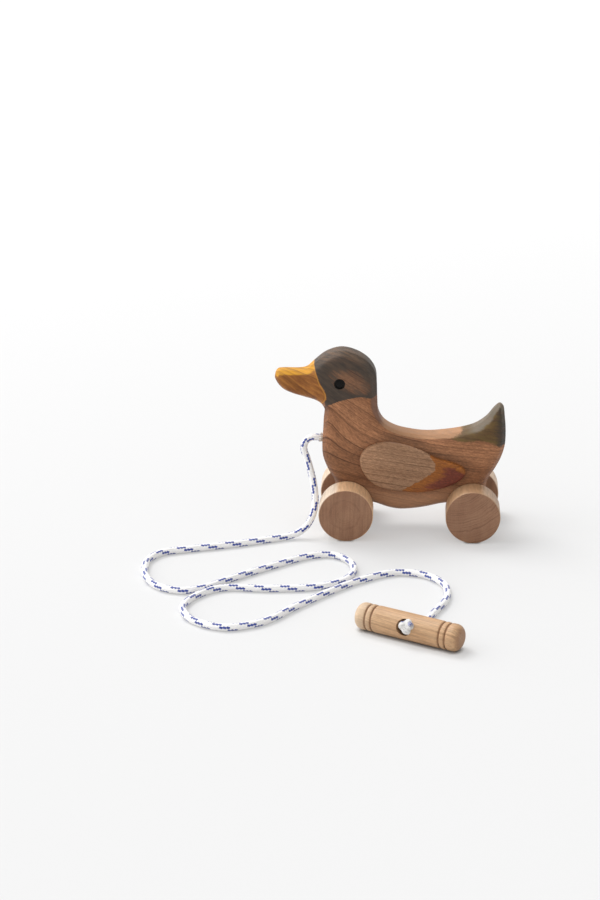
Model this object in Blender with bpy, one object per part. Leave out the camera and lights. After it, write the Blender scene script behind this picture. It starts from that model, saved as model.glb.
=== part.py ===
"""Pull-along wooden duck: sawn body, glued wings, two wheelsets, and a cord with a turned handle.

Sizes are in millimetres. The floor is z = 0, the beak points to -X and the duck's left side faces -Y.
The body's own outlines are drawn from the axle line, so z = 0 on a drawing is the height of the axles.
"""
import math

import bmesh
import bpy
import numpy as np
from mathutils import Matrix, Vector
from mathutils.geometry import delaunay_2d_cdt

MM = 0.001

# Facets
SHARP_ANGLE = math.radians(40.0)
OUTLINE_STEP = 6.5
ROUNDOVER_RINGS = 3
FACE_GRID = 15.0
RING_KEPT_SHARE = 0.97
CORNER_STEPS = 4
WHEEL_SIDES = 48
BORE_SIDES = 24
HANDLE_SIDES = 40
KNOT_SIDES = 20
KNOT_RINGS = 7
KNOT_STUB_SIDES = 12

# Body board
BODY_THICKNESS = 32.0
BODY_ROUNDOVER = 9.0
BEAK_THICKNESS = 20.0
BEAK_ROUNDOVER = 5.5
BEAK_ROOT_X = -58.0
BEAK_BLADE_X = -80.0
TAIL_TIP_THICKNESS = 12.0
TAIL_ROUNDOVER = 4.5
TAIL_TAPER_FROM_Z = 60.0
TAIL_TAPER_TO_Z = 93.5
TAIL_TAPER_POWER = 1.3
TAIL_TAPER_FROM_X = 40.0
TAIL_TAPER_RUN = 28.0

# Wheels and axles
WHEEL_DIAMETER = 48.0
WHEEL_WIDTH = 23.2
WHEEL_EDGE_RADIUS = 1.2
WHEEL_SIDE_CLEARANCE = 1.3
WHEEL_BORE_DEPTH = 16.0
FRONT_AXLE_X = -37.7
REAR_AXLE_X = 73.8
AXLE_DIAMETER = 8.0
AXLE_RUNNING_CLEARANCE = 0.5
AXLE_BOSS_WALL = 7.0
AXLE_END_CHAMFER = 0.8

# Gap that a glued or seated piece keeps to its neighbour
SEAT_GAP = 0.3

# Wings
WING_THICKNESS = 4.5
WING_ROUNDOVER = 2.4
WING_STEP = 7.0
WING_RINGS = 2

# Eyes: blind holes drilled from both sides
EYE_X = -44.4
EYE_Z = 113.6
EYE_DIAMETER = 9.6
EYE_DEPTH = 5.0
EYE_POINT = 2.2
EYE_POINT_RADIUS = 0.25

# Cord and the socket in the breast
CORD_DIAMETER = 6.0
CORD_CLEARANCE = 0.5
CORD_FLOOR_GAP = 0.15
CORD_POINT_SPACING = 14.2
CORD_BEVEL_RESOLUTION = 2
SOCKET_Z = 58.2
SOCKET_MOUTH_X = -59.4
SOCKET_DEPTH = 20.0

# Handle: a turned bar that lies on the floor, bored square to its length
HANDLE_LENGTH = 94.0
HANDLE_DIAMETER = 22.2
HANDLE_END_RADIUS = 6.5
HANDLE_AT = (19.1, -241.1)
HANDLE_YAW = math.radians(-28.0)
HANDLE_ROLL = math.radians(-18.0)
GROOVE_INSETS = (11.0, 16.4)
GROOVE_WIDTH = 1.9
GROOVE_DEPTH = 1.0
COUNTERBORE_DIAMETER = 13.7
COUNTERBORE_SEAT = 3.5

# Stopper knot
KNOT_DIAMETER = 12.4
KNOT_LENGTH = 9.8
KNOT_STUB_DIAMETER = 5.0
KNOT_STUB_LENGTH = 8.0
KNOT_STUB_LEAN = math.radians(40.0)
KNOT_STUB_LIFT = math.radians(22.0)

# Outline of the body from the front leg over the breast, beak, head, back and tail to the rear leg
UPPER_OUTLINE = (
    (-47.9, 19.0), (-54.4, 31.8), (-58.7, 43.4), (-59.6, 54.0), (-58.9, 68.0), (-58.2, 81.0),
    (-57.4, 86.6), (-60.4, 92.3), (-65.8, 95.6), (-75.5, 98.0), (-85.6, 100.9), (-94.4, 105.2),
    (-99.6, 111.4), (-101.4, 116.8), (-99.0, 120.9), (-94.0, 121.8), (-80.0, 122.0), (-73.5, 123.3),
    (-66.8, 129.1), (-56.4, 137.1), (-43.7, 141.0), (-30.2, 138.0), (-19.2, 130.6), (-13.5, 121.2),
    (-12.2, 108.5), (-11.7, 95.0), (-10.6, 83.8), (-5.9, 75.4), (4.0, 69.2), (18.5, 65.7),
    (32.0, 64.4), (47.0, 65.6), (63.0, 68.6), (75.0, 72.8), (84.5, 80.1), (91.6, 89.8),
    (95.8, 93.2), (99.0, 90.4), (100.4, 82.0), (101.4, 70.0), (100.9, 56.3), (97.9, 45.2),
    (92.8, 34.6), (87.2, 25.2), (85.0, 16.0),
)

# Belly between the legs, from the rear leg to the front leg
BELLY_OUTLINE = (
    (54.0, 0.9), (46.0, 0.5), (32.4, -2.8), (18.0, -5.0), (8.0, -5.3), (-1.6, -3.5), (-12.0, 0.0),
    (-19.0, 0.9),
)

# Angles of the points on the round end of each leg, from its outer side under the axle to its inner side
REAR_LEG_ANGLES = (12, -25, -60, -95, -130, -158)
FRONT_LEG_ANGLES = (-22, -50, -85, -120, -155, -192)

# Outline of a wing, from its front edge over the top to the tip and back along the bottom
WING_OUTLINE = (
    (-26.2, 44.0), (-21.2, 54.6), (-4.0, 61.2), (12.4, 58.9), (27.0, 54.1), (41.3, 46.9), (55.6, 42.9),
    (65.0, 38.2), (66.9, 33.6), (63.6, 28.1), (55.2, 22.5), (41.9, 17.6), (27.6, 14.9), (13.1, 15.7),
    (-1.0, 17.2), (-12.6, 21.4), (-21.6, 30.4),
)

# Route of the cord between the socket and the handle, on the breast and then along the floor
CORD_HANG = (
    (-66.6, 0.0, 82.7), (-71.6, -0.2, 81.4), (-75.2, -0.8, 77.4), (-75.9, -2.2, 71.6), (-73.2, -5.0, 64.6),
    (-69.1, -10.4, 52.6), (-66.0, -16.6, 40.0), (-65.1, -21.4, 31.0), (-66.6, -28.0, 20.9),
    (-71.6, -33.0, 11.8), (-79.2, -36.6, 6.0), (-87.6, -39.2, 3.6),
)
CORD_FLOOR = (
    (-99.0, -44.0), (-136.1, -59.0), (-175.5, -72.2), (-194.6, -79.6), (-205.4, -95.0), (-206.9, -117.3),
    (-202.3, -137.0), (-190.6, -153.4), (-173.0, -160.4), (-155.4, -155.0), (-134.1, -135.7),
    (-100.2, -106.4), (-66.5, -81.6), (-49.0, -78.4), (-35.2, -88.4), (-28.4, -109.0), (-35.2, -131.0),
    (-57.0, -146.8), (-98.7, -153.1), (-138.0, -153.6), (-157.0, -168.8), (-167.2, -193.0), (-158.6, -217.0),
    (-131.6, -232.0), (-101.2, -220.8), (-73.7, -187.4), (-45.8, -154.8), (-21.4, -131.2), (6.8, -114.6),
    (30.6, -118.2), (48.0, -138.0), (49.4, -167.0), (38.0, -198.0),
)

# Colours as linear RGB, with roughness
FINISHES = {
    "body_wood": ((0.27, 0.13, 0.07), 0.55),
    "wing_wood": ((0.30, 0.18, 0.11), 0.60),
    "wheel_wood": ((0.42, 0.26, 0.15), 0.55),
    "axle_wood": ((0.55, 0.40, 0.26), 0.60),
    "handle_wood": ((0.56, 0.34, 0.18), 0.50),
    "cord_braid": ((0.80, 0.80, 0.80), 0.85),
    "knot_braid": ((0.74, 0.73, 0.71), 0.85),
}

AXLE_Z = WHEEL_DIAMETER / 2
BODY_SIDE = BODY_THICKNESS / 2
WHEEL_INNER_Y = BODY_SIDE + WHEEL_SIDE_CLEARANCE
LEG_RADIUS = AXLE_DIAMETER / 2 + AXLE_RUNNING_CLEARANCE + AXLE_BOSS_WALL
CORD_RADIUS = CORD_DIAMETER / 2
CORD_BORE_RADIUS = CORD_RADIUS + CORD_CLEARANCE
HANDLE_RADIUS = HANDLE_DIAMETER / 2


def clear_scene():
    for obj in list(bpy.data.objects):
        bpy.data.objects.remove(obj, do_unlink=True)


def material(name):
    colour, roughness = FINISHES[name]
    made = bpy.data.materials.new(name)
    made.use_nodes = True
    shader = made.node_tree.nodes["Principled BSDF"]
    shader.inputs["Base Color"].default_value = (*colour, 1.0)
    shader.inputs["Roughness"].default_value = roughness
    shader.inputs["Metallic"].default_value = 0.0
    made.diffuse_color = (*colour, 1.0)
    return made


def add_object(name, bm, finish=None, parent=None):
    """Turns a bmesh in millimetres into an object in metres."""
    bmesh.ops.scale(bm, verts=bm.verts, vec=(MM, MM, MM))
    bmesh.ops.recalc_face_normals(bm, faces=bm.faces)
    mesh = bpy.data.meshes.new(name)
    bm.to_mesh(mesh)
    bm.free()
    mesh.shade_smooth()
    mesh.set_sharp_from_angle(angle=SHARP_ANGLE)
    obj = bpy.data.objects.new(name, mesh)
    bpy.context.collection.objects.link(obj)
    if finish:
        mesh.materials.append(material(finish))
    obj.parent = parent
    return obj


def add_empty(name, location):
    empty = bpy.data.objects.new(name, None)
    empty.location = Vector(location) * MM
    bpy.context.collection.objects.link(empty)
    return empty


def smooth_path(points, step, closed):
    """Points along a centripetal spline, each span cut into lengths of about one step."""
    pts = [np.array(p, float) for p in points]
    if closed:
        ring = [pts[-1], *pts, pts[0], pts[1]]
    else:
        ring = [2 * pts[0] - pts[1], *pts, 2 * pts[-1] - pts[-2]]
    path = []
    for span in zip(ring, ring[1:], ring[2:], ring[3:]):
        knots = np.cumsum([0.0] + [np.linalg.norm(q - p) ** 0.5 for p, q in zip(span, span[1:])])
        cuts = max(2, math.ceil(np.linalg.norm(span[2] - span[1]) / step))
        for t in np.linspace(knots[1], knots[2], cuts, endpoint=False):
            path.append(spline_point(span, knots, t))
    if not closed:
        path.append(pts[-1])
    return path


def spline_point(span, knots, t):
    """Point of the spline between the middle two of four points."""
    def mix(p, q, start, end):
        return (p * (end - t) + q * (t - start)) / (end - start)

    first, middle, last = (mix(span[i], span[i + 1], knots[i], knots[i + 1]) for i in range(3))
    low = mix(first, middle, knots[0], knots[2])
    high = mix(middle, last, knots[1], knots[3])
    return mix(low, high, knots[1], knots[2])


def evenly_spaced(path, spacing):
    """The same path with points a fixed length apart."""
    path = np.array(path)
    along = np.concatenate([[0.0], np.cumsum(np.linalg.norm(np.diff(path, axis=0), axis=1))])
    stations = np.linspace(0.0, along[-1], round(along[-1] / spacing) + 1)
    return np.stack([np.interp(stations, along, path[:, k]) for k in range(3)], axis=1)


def edge_distance(points, loop):
    """Shortest distance from each point to a closed loop."""
    start = np.array(loop)
    run = np.roll(start, -1, axis=0) - start
    offset = np.array(points)[:, None, :] - start
    share = np.clip((offset * run).sum(-1) / (run * run).sum(-1), 0.0, 1.0)
    return np.linalg.norm(offset - share[..., None] * run, axis=-1).min(axis=1)


def inside_loop(points, loop):
    """Even-odd test of points against a closed loop."""
    x, z = np.array(points).T[:, :, None]
    start = np.array(loop)
    end = np.roll(start, -1, axis=0)
    spans = (start[:, 1] > z) != (end[:, 1] > z)
    rise = np.where(end[:, 1] == start[:, 1], 1.0, end[:, 1] - start[:, 1])
    crossing = start[:, 0] + (z - start[:, 1]) * (end[:, 0] - start[:, 0]) / rise
    return (spans & (x < crossing)).sum(axis=1) % 2 == 1


def faced_outline(loop, roundover, rings, grid):
    """Triangles that fill a loop, with rings of points where the edge is rounded over.

    Returns the points, each one's distance to the edge, the triangles, and the loop's own points in order.
    """
    loop = np.array(loop)
    area = 0.5 * np.sum(loop[:, 0] * np.roll(loop[:, 1], -1) - loop[:, 1] * np.roll(loop[:, 0], -1))
    if area < 0:
        loop = loop[::-1]
    along = np.roll(loop, -1, axis=0) - np.roll(loop, 1, axis=0)
    inward = np.stack([-along[:, 1], along[:, 0]], axis=1) / np.linalg.norm(along, axis=1)[:, None]
    points = [tuple(p) for p in loop]
    for ring in range(1, rings + 1):
        depth = roundover * (1 - math.cos(math.pi / 2 * ring / rings))
        shifted = loop + inward * depth
        keep = inside_loop(shifted, loop) & (edge_distance(shifted, loop) > RING_KEPT_SHARE * depth)
        points += [tuple(p) for p in shifted[keep]]
    low, high = loop.min(axis=0), loop.max(axis=0)
    spots = [(x, z) for x in np.arange(low[0], high[0], grid) for z in np.arange(low[1], high[1], grid)]
    deep = inside_loop(spots, loop) & (edge_distance(spots, loop) > roundover + grid / 2)
    points += [spot for spot, kept in zip(spots, deep) if kept]
    count = len(loop)
    edges = [(i, (i + 1) % count) for i in range(count)]
    filled = delaunay_2d_cdt([Vector(p) for p in points], edges, [], 1, 1e-6)
    flat = np.array([tuple(v) for v in filled[0]])
    order = [next(i for i, sources in enumerate(filled[3]) if source in sources) for source in range(count)]
    return flat, edge_distance(flat, loop), filled[2], order


def rounded(distance, radius):
    """Rise of a quarter-round edge at a distance from the outline."""
    reach = np.clip(distance / radius, 0.0, 1.0)
    return radius * np.sqrt(1.0 - (1.0 - reach) ** 2)


def smoothstep(value):
    value = np.clip(value, 0.0, 1.0)
    return value * value * (3.0 - 2.0 * value)


def body_half_thickness(flat):
    """Half thickness and roundover of the body at each point: thinner along the beak and up the tail."""
    x, z = flat.T
    beak = smoothstep((BEAK_ROOT_X - x) / (BEAK_ROOT_X - BEAK_BLADE_X))
    rise = np.clip((z - TAIL_TAPER_FROM_Z) / (TAIL_TAPER_TO_Z - TAIL_TAPER_FROM_Z), 0.0, 1.0)
    tail = rise ** TAIL_TAPER_POWER * smoothstep((x - TAIL_TAPER_FROM_X) / TAIL_TAPER_RUN)
    half = BODY_SIDE + beak * (BEAK_THICKNESS / 2 - BODY_SIDE) + tail * (TAIL_TIP_THICKNESS / 2 - BODY_SIDE)
    roundover = (BODY_ROUNDOVER + beak * (BEAK_ROUNDOVER - BODY_ROUNDOVER)
                 + tail * (TAIL_ROUNDOVER - BODY_ROUNDOVER))
    return half, roundover


def leg_arc(axle_x, angles):
    """Round end of a leg, about its axle."""
    turns = [math.radians(a) for a in angles]
    return [(axle_x + LEG_RADIUS * math.cos(t), LEG_RADIUS * math.sin(t)) for t in turns]


def stand_up(flat, near, far, triangles, order):
    """Closed solid between a near and a far sheet (y of each point) over the same triangles."""
    bm = bmesh.new()
    front = [bm.verts.new((x, y, z)) for (x, z), y in zip(flat, near)]
    back = [bm.verts.new((x, y, z)) for (x, z), y in zip(flat, far)]
    for a, b, c in triangles:
        bm.faces.new((front[a], front[b], front[c]))
        bm.faces.new((back[c], back[b], back[a]))
    for i, j in zip(order, order[1:] + order[:1]):
        bm.faces.new((front[i], back[i], back[j], front[j]))
    return bm


def turned(profile, sides, half_step=False):
    """Solid of revolution about Y from (along, radius) points, closed by flat ends."""
    bm = bmesh.new()
    turn = math.pi / sides if half_step else 0.0
    ring = [bm.verts.new((r * math.cos(turn), y, r * math.sin(turn))) for y, r in profile]
    edges = [bm.edges.new(pair) for pair in zip(ring, ring[1:])]
    bmesh.ops.spin(bm, geom=ring + edges, cent=(0, 0, 0), axis=(0, 1, 0), angle=2 * math.pi, steps=sides,
                   use_merge=True)
    bmesh.ops.holes_fill(bm, edges=[e for e in bm.edges if e.is_boundary], sides=sides)
    return bm


def drill(target, name, profile, placing):
    """Cuts a turned shape out of an object."""
    cutter = add_object(name, turned(profile, BORE_SIDES))
    cutter.hide_render = True
    cutter.display_type = "WIRE"
    cutter.parent = target.parent
    cutter.matrix_local = placing
    cut = target.modifiers.new(name, "BOOLEAN")
    cut.operation = "DIFFERENCE"
    cut.solver = "EXACT"
    cut.object = cutter


def placed(x, y, z, turn=None):
    """Matrix in metres that carries a turned piece to a point."""
    return Matrix.Translation(Vector((x, y, z)) * MM) @ (turn or Matrix.Identity(4))


def make_body(datum):
    legs_and_back = [*UPPER_OUTLINE, *leg_arc(REAR_AXLE_X, REAR_LEG_ANGLES), *BELLY_OUTLINE,
                     *leg_arc(FRONT_AXLE_X, FRONT_LEG_ANGLES)]
    loop = smooth_path(legs_and_back, OUTLINE_STEP, closed=True)
    flat, distance, triangles, order = faced_outline(loop, BODY_ROUNDOVER, ROUNDOVER_RINGS, FACE_GRID)
    half, roundover = body_half_thickness(flat)
    side = half - roundover + rounded(distance, roundover)
    body = add_object("body", stand_up(flat, -side, side, triangles, order), "body_wood", datum)
    bore = AXLE_DIAMETER / 2 + AXLE_RUNNING_CLEARANCE
    for name, x in (("front_axle_bore", FRONT_AXLE_X), ("rear_axle_bore", REAR_AXLE_X)):
        drill(body, name, ((-BODY_THICKNESS, bore), (BODY_THICKNESS, bore)), placed(x, 0, 0))
    eye = EYE_DIAMETER / 2
    eye_profile = ((-EYE_DEPTH, eye), (EYE_DEPTH, eye), (EYE_DEPTH + EYE_POINT, EYE_POINT_RADIUS))
    drill(body, "left_eye_hole", eye_profile, placed(EYE_X, -BODY_SIDE, EYE_Z))
    about = Matrix.Rotation(math.pi, 4, "Z")
    drill(body, "right_eye_hole", eye_profile, placed(EYE_X, BODY_SIDE, EYE_Z, about))
    socket = ((-SOCKET_DEPTH, CORD_BORE_RADIUS), (SOCKET_DEPTH, CORD_BORE_RADIUS))
    lengthwise = Matrix.Rotation(math.pi / 2, 4, "Z")
    drill(body, "cord_socket", socket, placed(SOCKET_MOUTH_X, 0, SOCKET_Z, lengthwise))


def make_wing(name, side, datum):
    loop = smooth_path(WING_OUTLINE, WING_STEP, closed=True)
    flat, distance, triangles, order = faced_outline(loop, WING_ROUNDOVER, WING_RINGS, FACE_GRID)
    seat = BODY_SIDE + SEAT_GAP
    face = seat + WING_THICKNESS - WING_ROUNDOVER + rounded(distance, WING_ROUNDOVER)
    back = np.full(len(flat), seat)
    near, far = (-face, -back) if side < 0 else (back, face)
    add_object(name, stand_up(flat, near, far, triangles, order), "wing_wood", datum)


def make_wheelset(name, x):
    """An axle with a wheel glued on each end, all about the axle's own line."""
    hub = add_empty(name + "_wheelset", (x, 0, AXLE_Z))
    reach = WHEEL_INNER_Y + WHEEL_BORE_DEPTH - SEAT_GAP
    axle = AXLE_DIAMETER / 2
    chamfer = AXLE_END_CHAMFER
    ends = ((reach, axle - chamfer), (reach - chamfer, axle))
    axle_profile = [*ends, *((-along, radius) for along, radius in reversed(ends))]
    add_object(name + "_axle", turned(axle_profile, BORE_SIDES), "axle_wood", hub)
    flat_to_corner = 1 / math.cos(math.pi / WHEEL_SIDES)
    tread = WHEEL_DIAMETER / 2 * flat_to_corner
    ease = WHEEL_EDGE_RADIUS
    bore = axle + SEAT_GAP
    turns = (0, math.pi / 4, math.pi / 2)
    corner = [(ease * (1 - math.cos(t)), ease * (1 - math.sin(t))) for t in turns]
    wheel_profile = [(WHEEL_BORE_DEPTH, bore), (0.0, bore)]
    wheel_profile += [(inset, tread - drop) for inset, drop in corner]
    wheel_profile += [(WHEEL_WIDTH - inset, tread - drop) for inset, drop in reversed(corner)]
    for hand, side in (("left", -1), ("right", 1)):
        profile = [(side * (WHEEL_INNER_Y + along), radius) for along, radius in wheel_profile]
        add_object(f"{name}_{hand}_wheel", turned(profile, WHEEL_SIDES, half_step=True), "wheel_wood", hub)


def handle_frame():
    """Matrix of the handle: its length along local X, its bore along local Y with the knot at -Y."""
    turn = Matrix.Rotation(HANDLE_YAW, 4, "Z") @ Matrix.Rotation(HANDLE_ROLL, 4, "X")
    return placed(*HANDLE_AT, HANDLE_RADIUS, turn)


def handle_profile():
    """Turned outline along the handle: rounded ends and two pairs of grooves."""
    half = HANDLE_LENGTH / 2
    end = HANDLE_END_RADIUS
    steps = [math.pi / 2 * k / CORNER_STEPS for k in range(CORNER_STEPS + 1)]
    right = [(half - end + end * math.cos(t), HANDLE_RADIUS - end + end * math.sin(t)) for t in steps]
    for inset in GROOVE_INSETS:
        for shift, depth in ((GROOVE_WIDTH / 2, 0.0), (0.0, GROOVE_DEPTH), (-GROOVE_WIDTH / 2, 0.0)):
            right.append((half - inset + shift, HANDLE_RADIUS - depth))
    left = [(-along, radius) for along, radius in reversed(right)]
    return right + left


def make_handle():
    lengthwise = Matrix.Rotation(-math.pi / 2, 4, "Z")
    bm = turned(handle_profile(), HANDLE_SIDES)
    bmesh.ops.transform(bm, matrix=lengthwise, verts=bm.verts)
    frame = handle_frame()
    handle = add_object("pull_handle", bm, "handle_wood")
    handle.matrix_world = frame
    through = ((-HANDLE_DIAMETER, CORD_BORE_RADIUS), (HANDLE_DIAMETER, CORD_BORE_RADIUS))
    drill(handle, "handle_cord_bore", through, frame)
    wide = COUNTERBORE_DIAMETER / 2
    drill(handle, "handle_counterbore", ((-HANDLE_DIAMETER, wide), (-COUNTERBORE_SEAT, wide)), frame)


def make_knot():
    """Stopper knot in the counterbore: a round lump with the cord's short end standing out of it."""
    half = KNOT_LENGTH / 2
    turns = [math.pi * (k + 0.5) / KNOT_RINGS for k in range(KNOT_RINGS)]
    lump = [(-half * math.cos(t), KNOT_DIAMETER / 2 * math.sin(t)) for t in turns]
    centre = -(COUNTERBORE_SEAT + SEAT_GAP + half)
    knot = add_object("handle_knot", turned(lump, KNOT_SIDES), "knot_braid")
    knot.matrix_world = handle_frame() @ placed(0, centre, 0)
    stub_radius = KNOT_STUB_DIAMETER / 2
    stub_profile = ((0.0, stub_radius), (-KNOT_STUB_LENGTH, stub_radius))
    stub = add_object("knot_stub", turned(stub_profile, KNOT_STUB_SIDES))
    stub.hide_render = True
    stub.display_type = "WIRE"
    lean = Matrix.Rotation(KNOT_STUB_LEAN, 4, "Z") @ Matrix.Rotation(-KNOT_STUB_LIFT, 4, "X")
    stub.matrix_world = knot.matrix_world @ lean
    union = knot.modifiers.new("knot_stub", "BOOLEAN")
    union.operation = "UNION"
    union.solver = "EXACT"
    union.object = stub


def cord_route():
    """The cord's own points from the bottom of the socket to the back of the knot."""
    socket_z = AXLE_Z + SOCKET_Z
    start = (SOCKET_MOUTH_X + SOCKET_DEPTH - SEAT_GAP, 0.0, socket_z)
    mouth = (SOCKET_MOUTH_X, 0.0, socket_z)
    floor = [(x, y, CORD_RADIUS + CORD_FLOOR_GAP) for x, y in CORD_FLOOR]
    frame = handle_frame()
    in_handle = [tuple(frame @ Vector((0, y * MM, 0)) / MM)
                 for y in (HANDLE_DIAMETER, HANDLE_RADIUS, -COUNTERBORE_SEAT)]
    return [start, mouth, *CORD_HANG, *floor, *in_handle]


def make_cord():
    path = evenly_spaced(smooth_path(cord_route(), CORD_RADIUS, closed=False), CORD_POINT_SPACING)
    curve = bpy.data.curves.new("pull_cord", "CURVE")
    curve.dimensions = "3D"
    curve.bevel_depth = CORD_RADIUS * MM
    curve.bevel_resolution = CORD_BEVEL_RESOLUTION
    curve.use_fill_caps = True
    spline = curve.splines.new("POLY")
    spline.points.add(len(path) - 1)
    for point, place in zip(spline.points, path):
        point.co = (*(Vector(place) * MM), 1.0)
    curve.materials.append(material("cord_braid"))
    cord = bpy.data.objects.new("pull_cord", curve)
    bpy.context.collection.objects.link(cord)


def main():
    clear_scene()
    datum = add_empty("axle_line", (0, 0, AXLE_Z))
    bpy.context.view_layer.update()
    make_body(datum)
    make_wing("left_wing", -1, datum)
    make_wing("right_wing", 1, datum)
    make_wheelset("front", FRONT_AXLE_X)
    make_wheelset("rear", REAR_AXLE_X)
    make_handle()
    make_knot()
    make_cord()


main()
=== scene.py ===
"""Looks of the pull-along duck: oiled and stained wood, a solid-braid cord and a pale studio floor.

Sizes are in millimetres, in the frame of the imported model, unless a name says otherwise.
"""
import math

import bmesh
import bpy
import numpy as np
from mathutils import Matrix, Vector
from mathutils.geometry import delaunay_2d_cdt


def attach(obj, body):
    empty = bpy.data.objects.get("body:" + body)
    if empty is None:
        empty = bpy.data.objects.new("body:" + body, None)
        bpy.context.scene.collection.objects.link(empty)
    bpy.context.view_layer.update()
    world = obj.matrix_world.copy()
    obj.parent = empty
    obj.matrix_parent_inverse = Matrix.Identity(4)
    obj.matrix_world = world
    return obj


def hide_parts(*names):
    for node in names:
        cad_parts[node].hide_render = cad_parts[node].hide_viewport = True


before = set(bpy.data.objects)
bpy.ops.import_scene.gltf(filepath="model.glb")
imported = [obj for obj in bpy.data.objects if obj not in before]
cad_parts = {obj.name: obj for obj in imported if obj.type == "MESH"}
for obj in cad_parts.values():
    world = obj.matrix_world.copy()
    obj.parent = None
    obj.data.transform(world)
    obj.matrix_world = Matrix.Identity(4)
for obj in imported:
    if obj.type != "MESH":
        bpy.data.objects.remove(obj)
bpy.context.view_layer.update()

MM = 0.001

# Photograph's frame and camera
PHOTO_HEIGHT = 900
FOCAL_PIXELS = 2400
SENSOR = 36.0
CLIP_END = 50000.0
CAMERA_AT = (10.57, -1990.76, 815.94)
CAMERA_RIGHT = (0.99898, 0.04524, 0.0)
CAMERA_UP = (-0.01586, 0.35019, 0.93655)

# Light: two soft sources at the upper left, each a direction, an angle across and a strength, and a white sky
LAMPS = {
    "overhead": ((-0.33, 0.44, 0.84), 30.0, 0.54),
    "window": ((-0.82, 0.20, 0.50), 70.0, 0.46),
}
SKY_FROM = (-0.45, -0.70, 0.55)
SKY_LOW = 0.36
SKY_HIGH = 0.85
SKY_BACK = -0.7

# Floor, near and far: its grey, and the white that the camera sees mixed into it
FLOOR_SIZE = 6000.0
FLOOR_DEPTHS = (-700.0, 2600.0)
FLOOR_GREYS = ((0.685, 0.685, 0.685), (0.815, 0.815, 0.815))
GLOW_GREYS = ((0.91, 0.91, 0.91), (1.05, 1.05, 1.05))
FLOOR_GLOW = 0.40
# Reach of the painted shadow line under wheels and handle, and the half sizes between which it fades
CONTACT_REACH = 4.0
WHEEL_CONTACT_X = (4.0, 9.0)
WHEEL_CONTACT_Y = (60.0, 70.0)
HANDLE_CONTACT_X = (52.0, 60.0)
HANDLE_CONTACT_Y = (18.0, 24.0)

# Body board, with heights from the axle line
AXLE_Z = 24.0
BODY_SIDE = 16.0
BODY_ROUNDOVER = 9.0
BEAK_SIDE = 10.0
BEAK_ROUNDOVER = 5.5
BEAK_ROOT_X = -58.0
BEAK_BLADE_X = -80.0
TAIL_SIDE = 6.0
TAIL_ROUNDOVER = 4.5
TAIL_TAPER_Z = (60.0, 93.5)
TAIL_TAPER_POWER = 1.3
TAIL_TAPER_X = (40.0, 68.0)
LEG_RADIUS = 11.5
UPPER_OUTLINE = (
    (-47.9, 19.0), (-54.4, 31.8), (-58.7, 43.4), (-59.6, 54.0), (-58.9, 68.0), (-58.2, 81.0),
    (-57.4, 86.6), (-60.4, 92.3), (-65.8, 95.6), (-75.5, 98.0), (-85.6, 100.9), (-94.4, 105.2),
    (-99.6, 111.4), (-101.4, 116.8), (-99.0, 120.9), (-94.0, 121.8), (-80.0, 122.0), (-73.5, 123.3),
    (-66.8, 129.1), (-56.4, 137.1), (-43.7, 141.0), (-30.2, 138.0), (-19.2, 130.6), (-13.5, 121.2),
    (-12.2, 108.5), (-11.7, 95.0), (-10.6, 83.8), (-5.9, 75.4), (4.0, 69.2), (18.5, 65.7),
    (32.0, 64.4), (47.0, 65.6), (63.0, 68.6), (75.0, 72.8), (84.5, 80.1), (91.6, 89.8),
    (95.8, 93.2), (99.0, 90.4), (100.4, 82.0), (101.4, 70.0), (100.9, 56.3), (97.9, 45.2),
    (92.8, 34.6), (87.2, 25.2), (85.0, 16.0),
)
BELLY_OUTLINE = (
    (54.0, 0.9), (46.0, 0.5), (32.4, -2.8), (18.0, -5.0), (8.0, -5.3), (-1.6, -3.5), (-12.0, 0.0),
    (-19.0, 0.9),
)
# Where the carved facet along the edge ends, as a share of the roundover, at places on the outline
EDGE_FACETS = (
    (-12.0, 105.0, 0.60), (-44.0, 141.0, 0.35), (-70.0, 126.0, 0.45), (-95.0, 120.0, 0.50),
    (-80.0, 100.0, 0.40), (-59.0, 55.0, 0.35), (0.0, 72.0, 0.20), (35.0, 64.0, 0.24), (62.0, 69.0, 0.32),
    (85.0, 82.0, 0.50), (101.0, 70.0, 0.40), (10.0, -5.0, 0.35),
)
FACET_STEEPNESS = 2.4
FACET_BLEND = 4.0
FACET_FALL = 4
REAR_LEG_ANGLES = (12, -25, -60, -95, -130, -158)
FRONT_LEG_ANGLES = (-22, -50, -85, -120, -155, -192)
OUTLINE_STEP = 1.6
RING_FIT = 0.97

# Wings, with heights from the axle line
WING_THICKNESS = 4.5
WING_ROUNDOVER = 2.4
WING_SEAT_GAP = 0.05
WING_OUTLINE = (
    (-26.2, 44.0), (-21.2, 54.6), (-4.0, 61.2), (12.4, 58.9), (27.0, 54.1), (41.3, 46.9), (55.6, 42.9),
    (65.0, 38.2), (66.9, 33.6), (63.6, 28.1), (55.2, 22.5), (41.9, 17.6), (27.6, 14.9), (13.1, 15.7),
    (-1.0, 17.2), (-12.6, 21.4), (-21.6, 30.4),
)
WING_UPPER_EDGE = WING_OUTLINE[4:8]

# Angles from which an edge is shaded sharp, on plain shapes and after a cut
SHARP_EDGE = math.radians(60.0)
SHARP_CUT = math.radians(40.0)

# Holes in the body, with heights from the axle line
HOLE_SIDES = 64
EYE_AT = (-44.4, 113.6)
EYE_RADIUS = 4.8
EYE_DEPTH = 5.0
EYE_POINT = 2.2
EYE_POINT_RADIUS = 0.25
EYE_MARGIN = 0.02
AXLE_BORE_RADIUS = 4.5
SOCKET_AT = (-59.4, 58.2)
SOCKET_RADIUS = 3.5
SOCKET_DEPTH = 20.0

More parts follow.
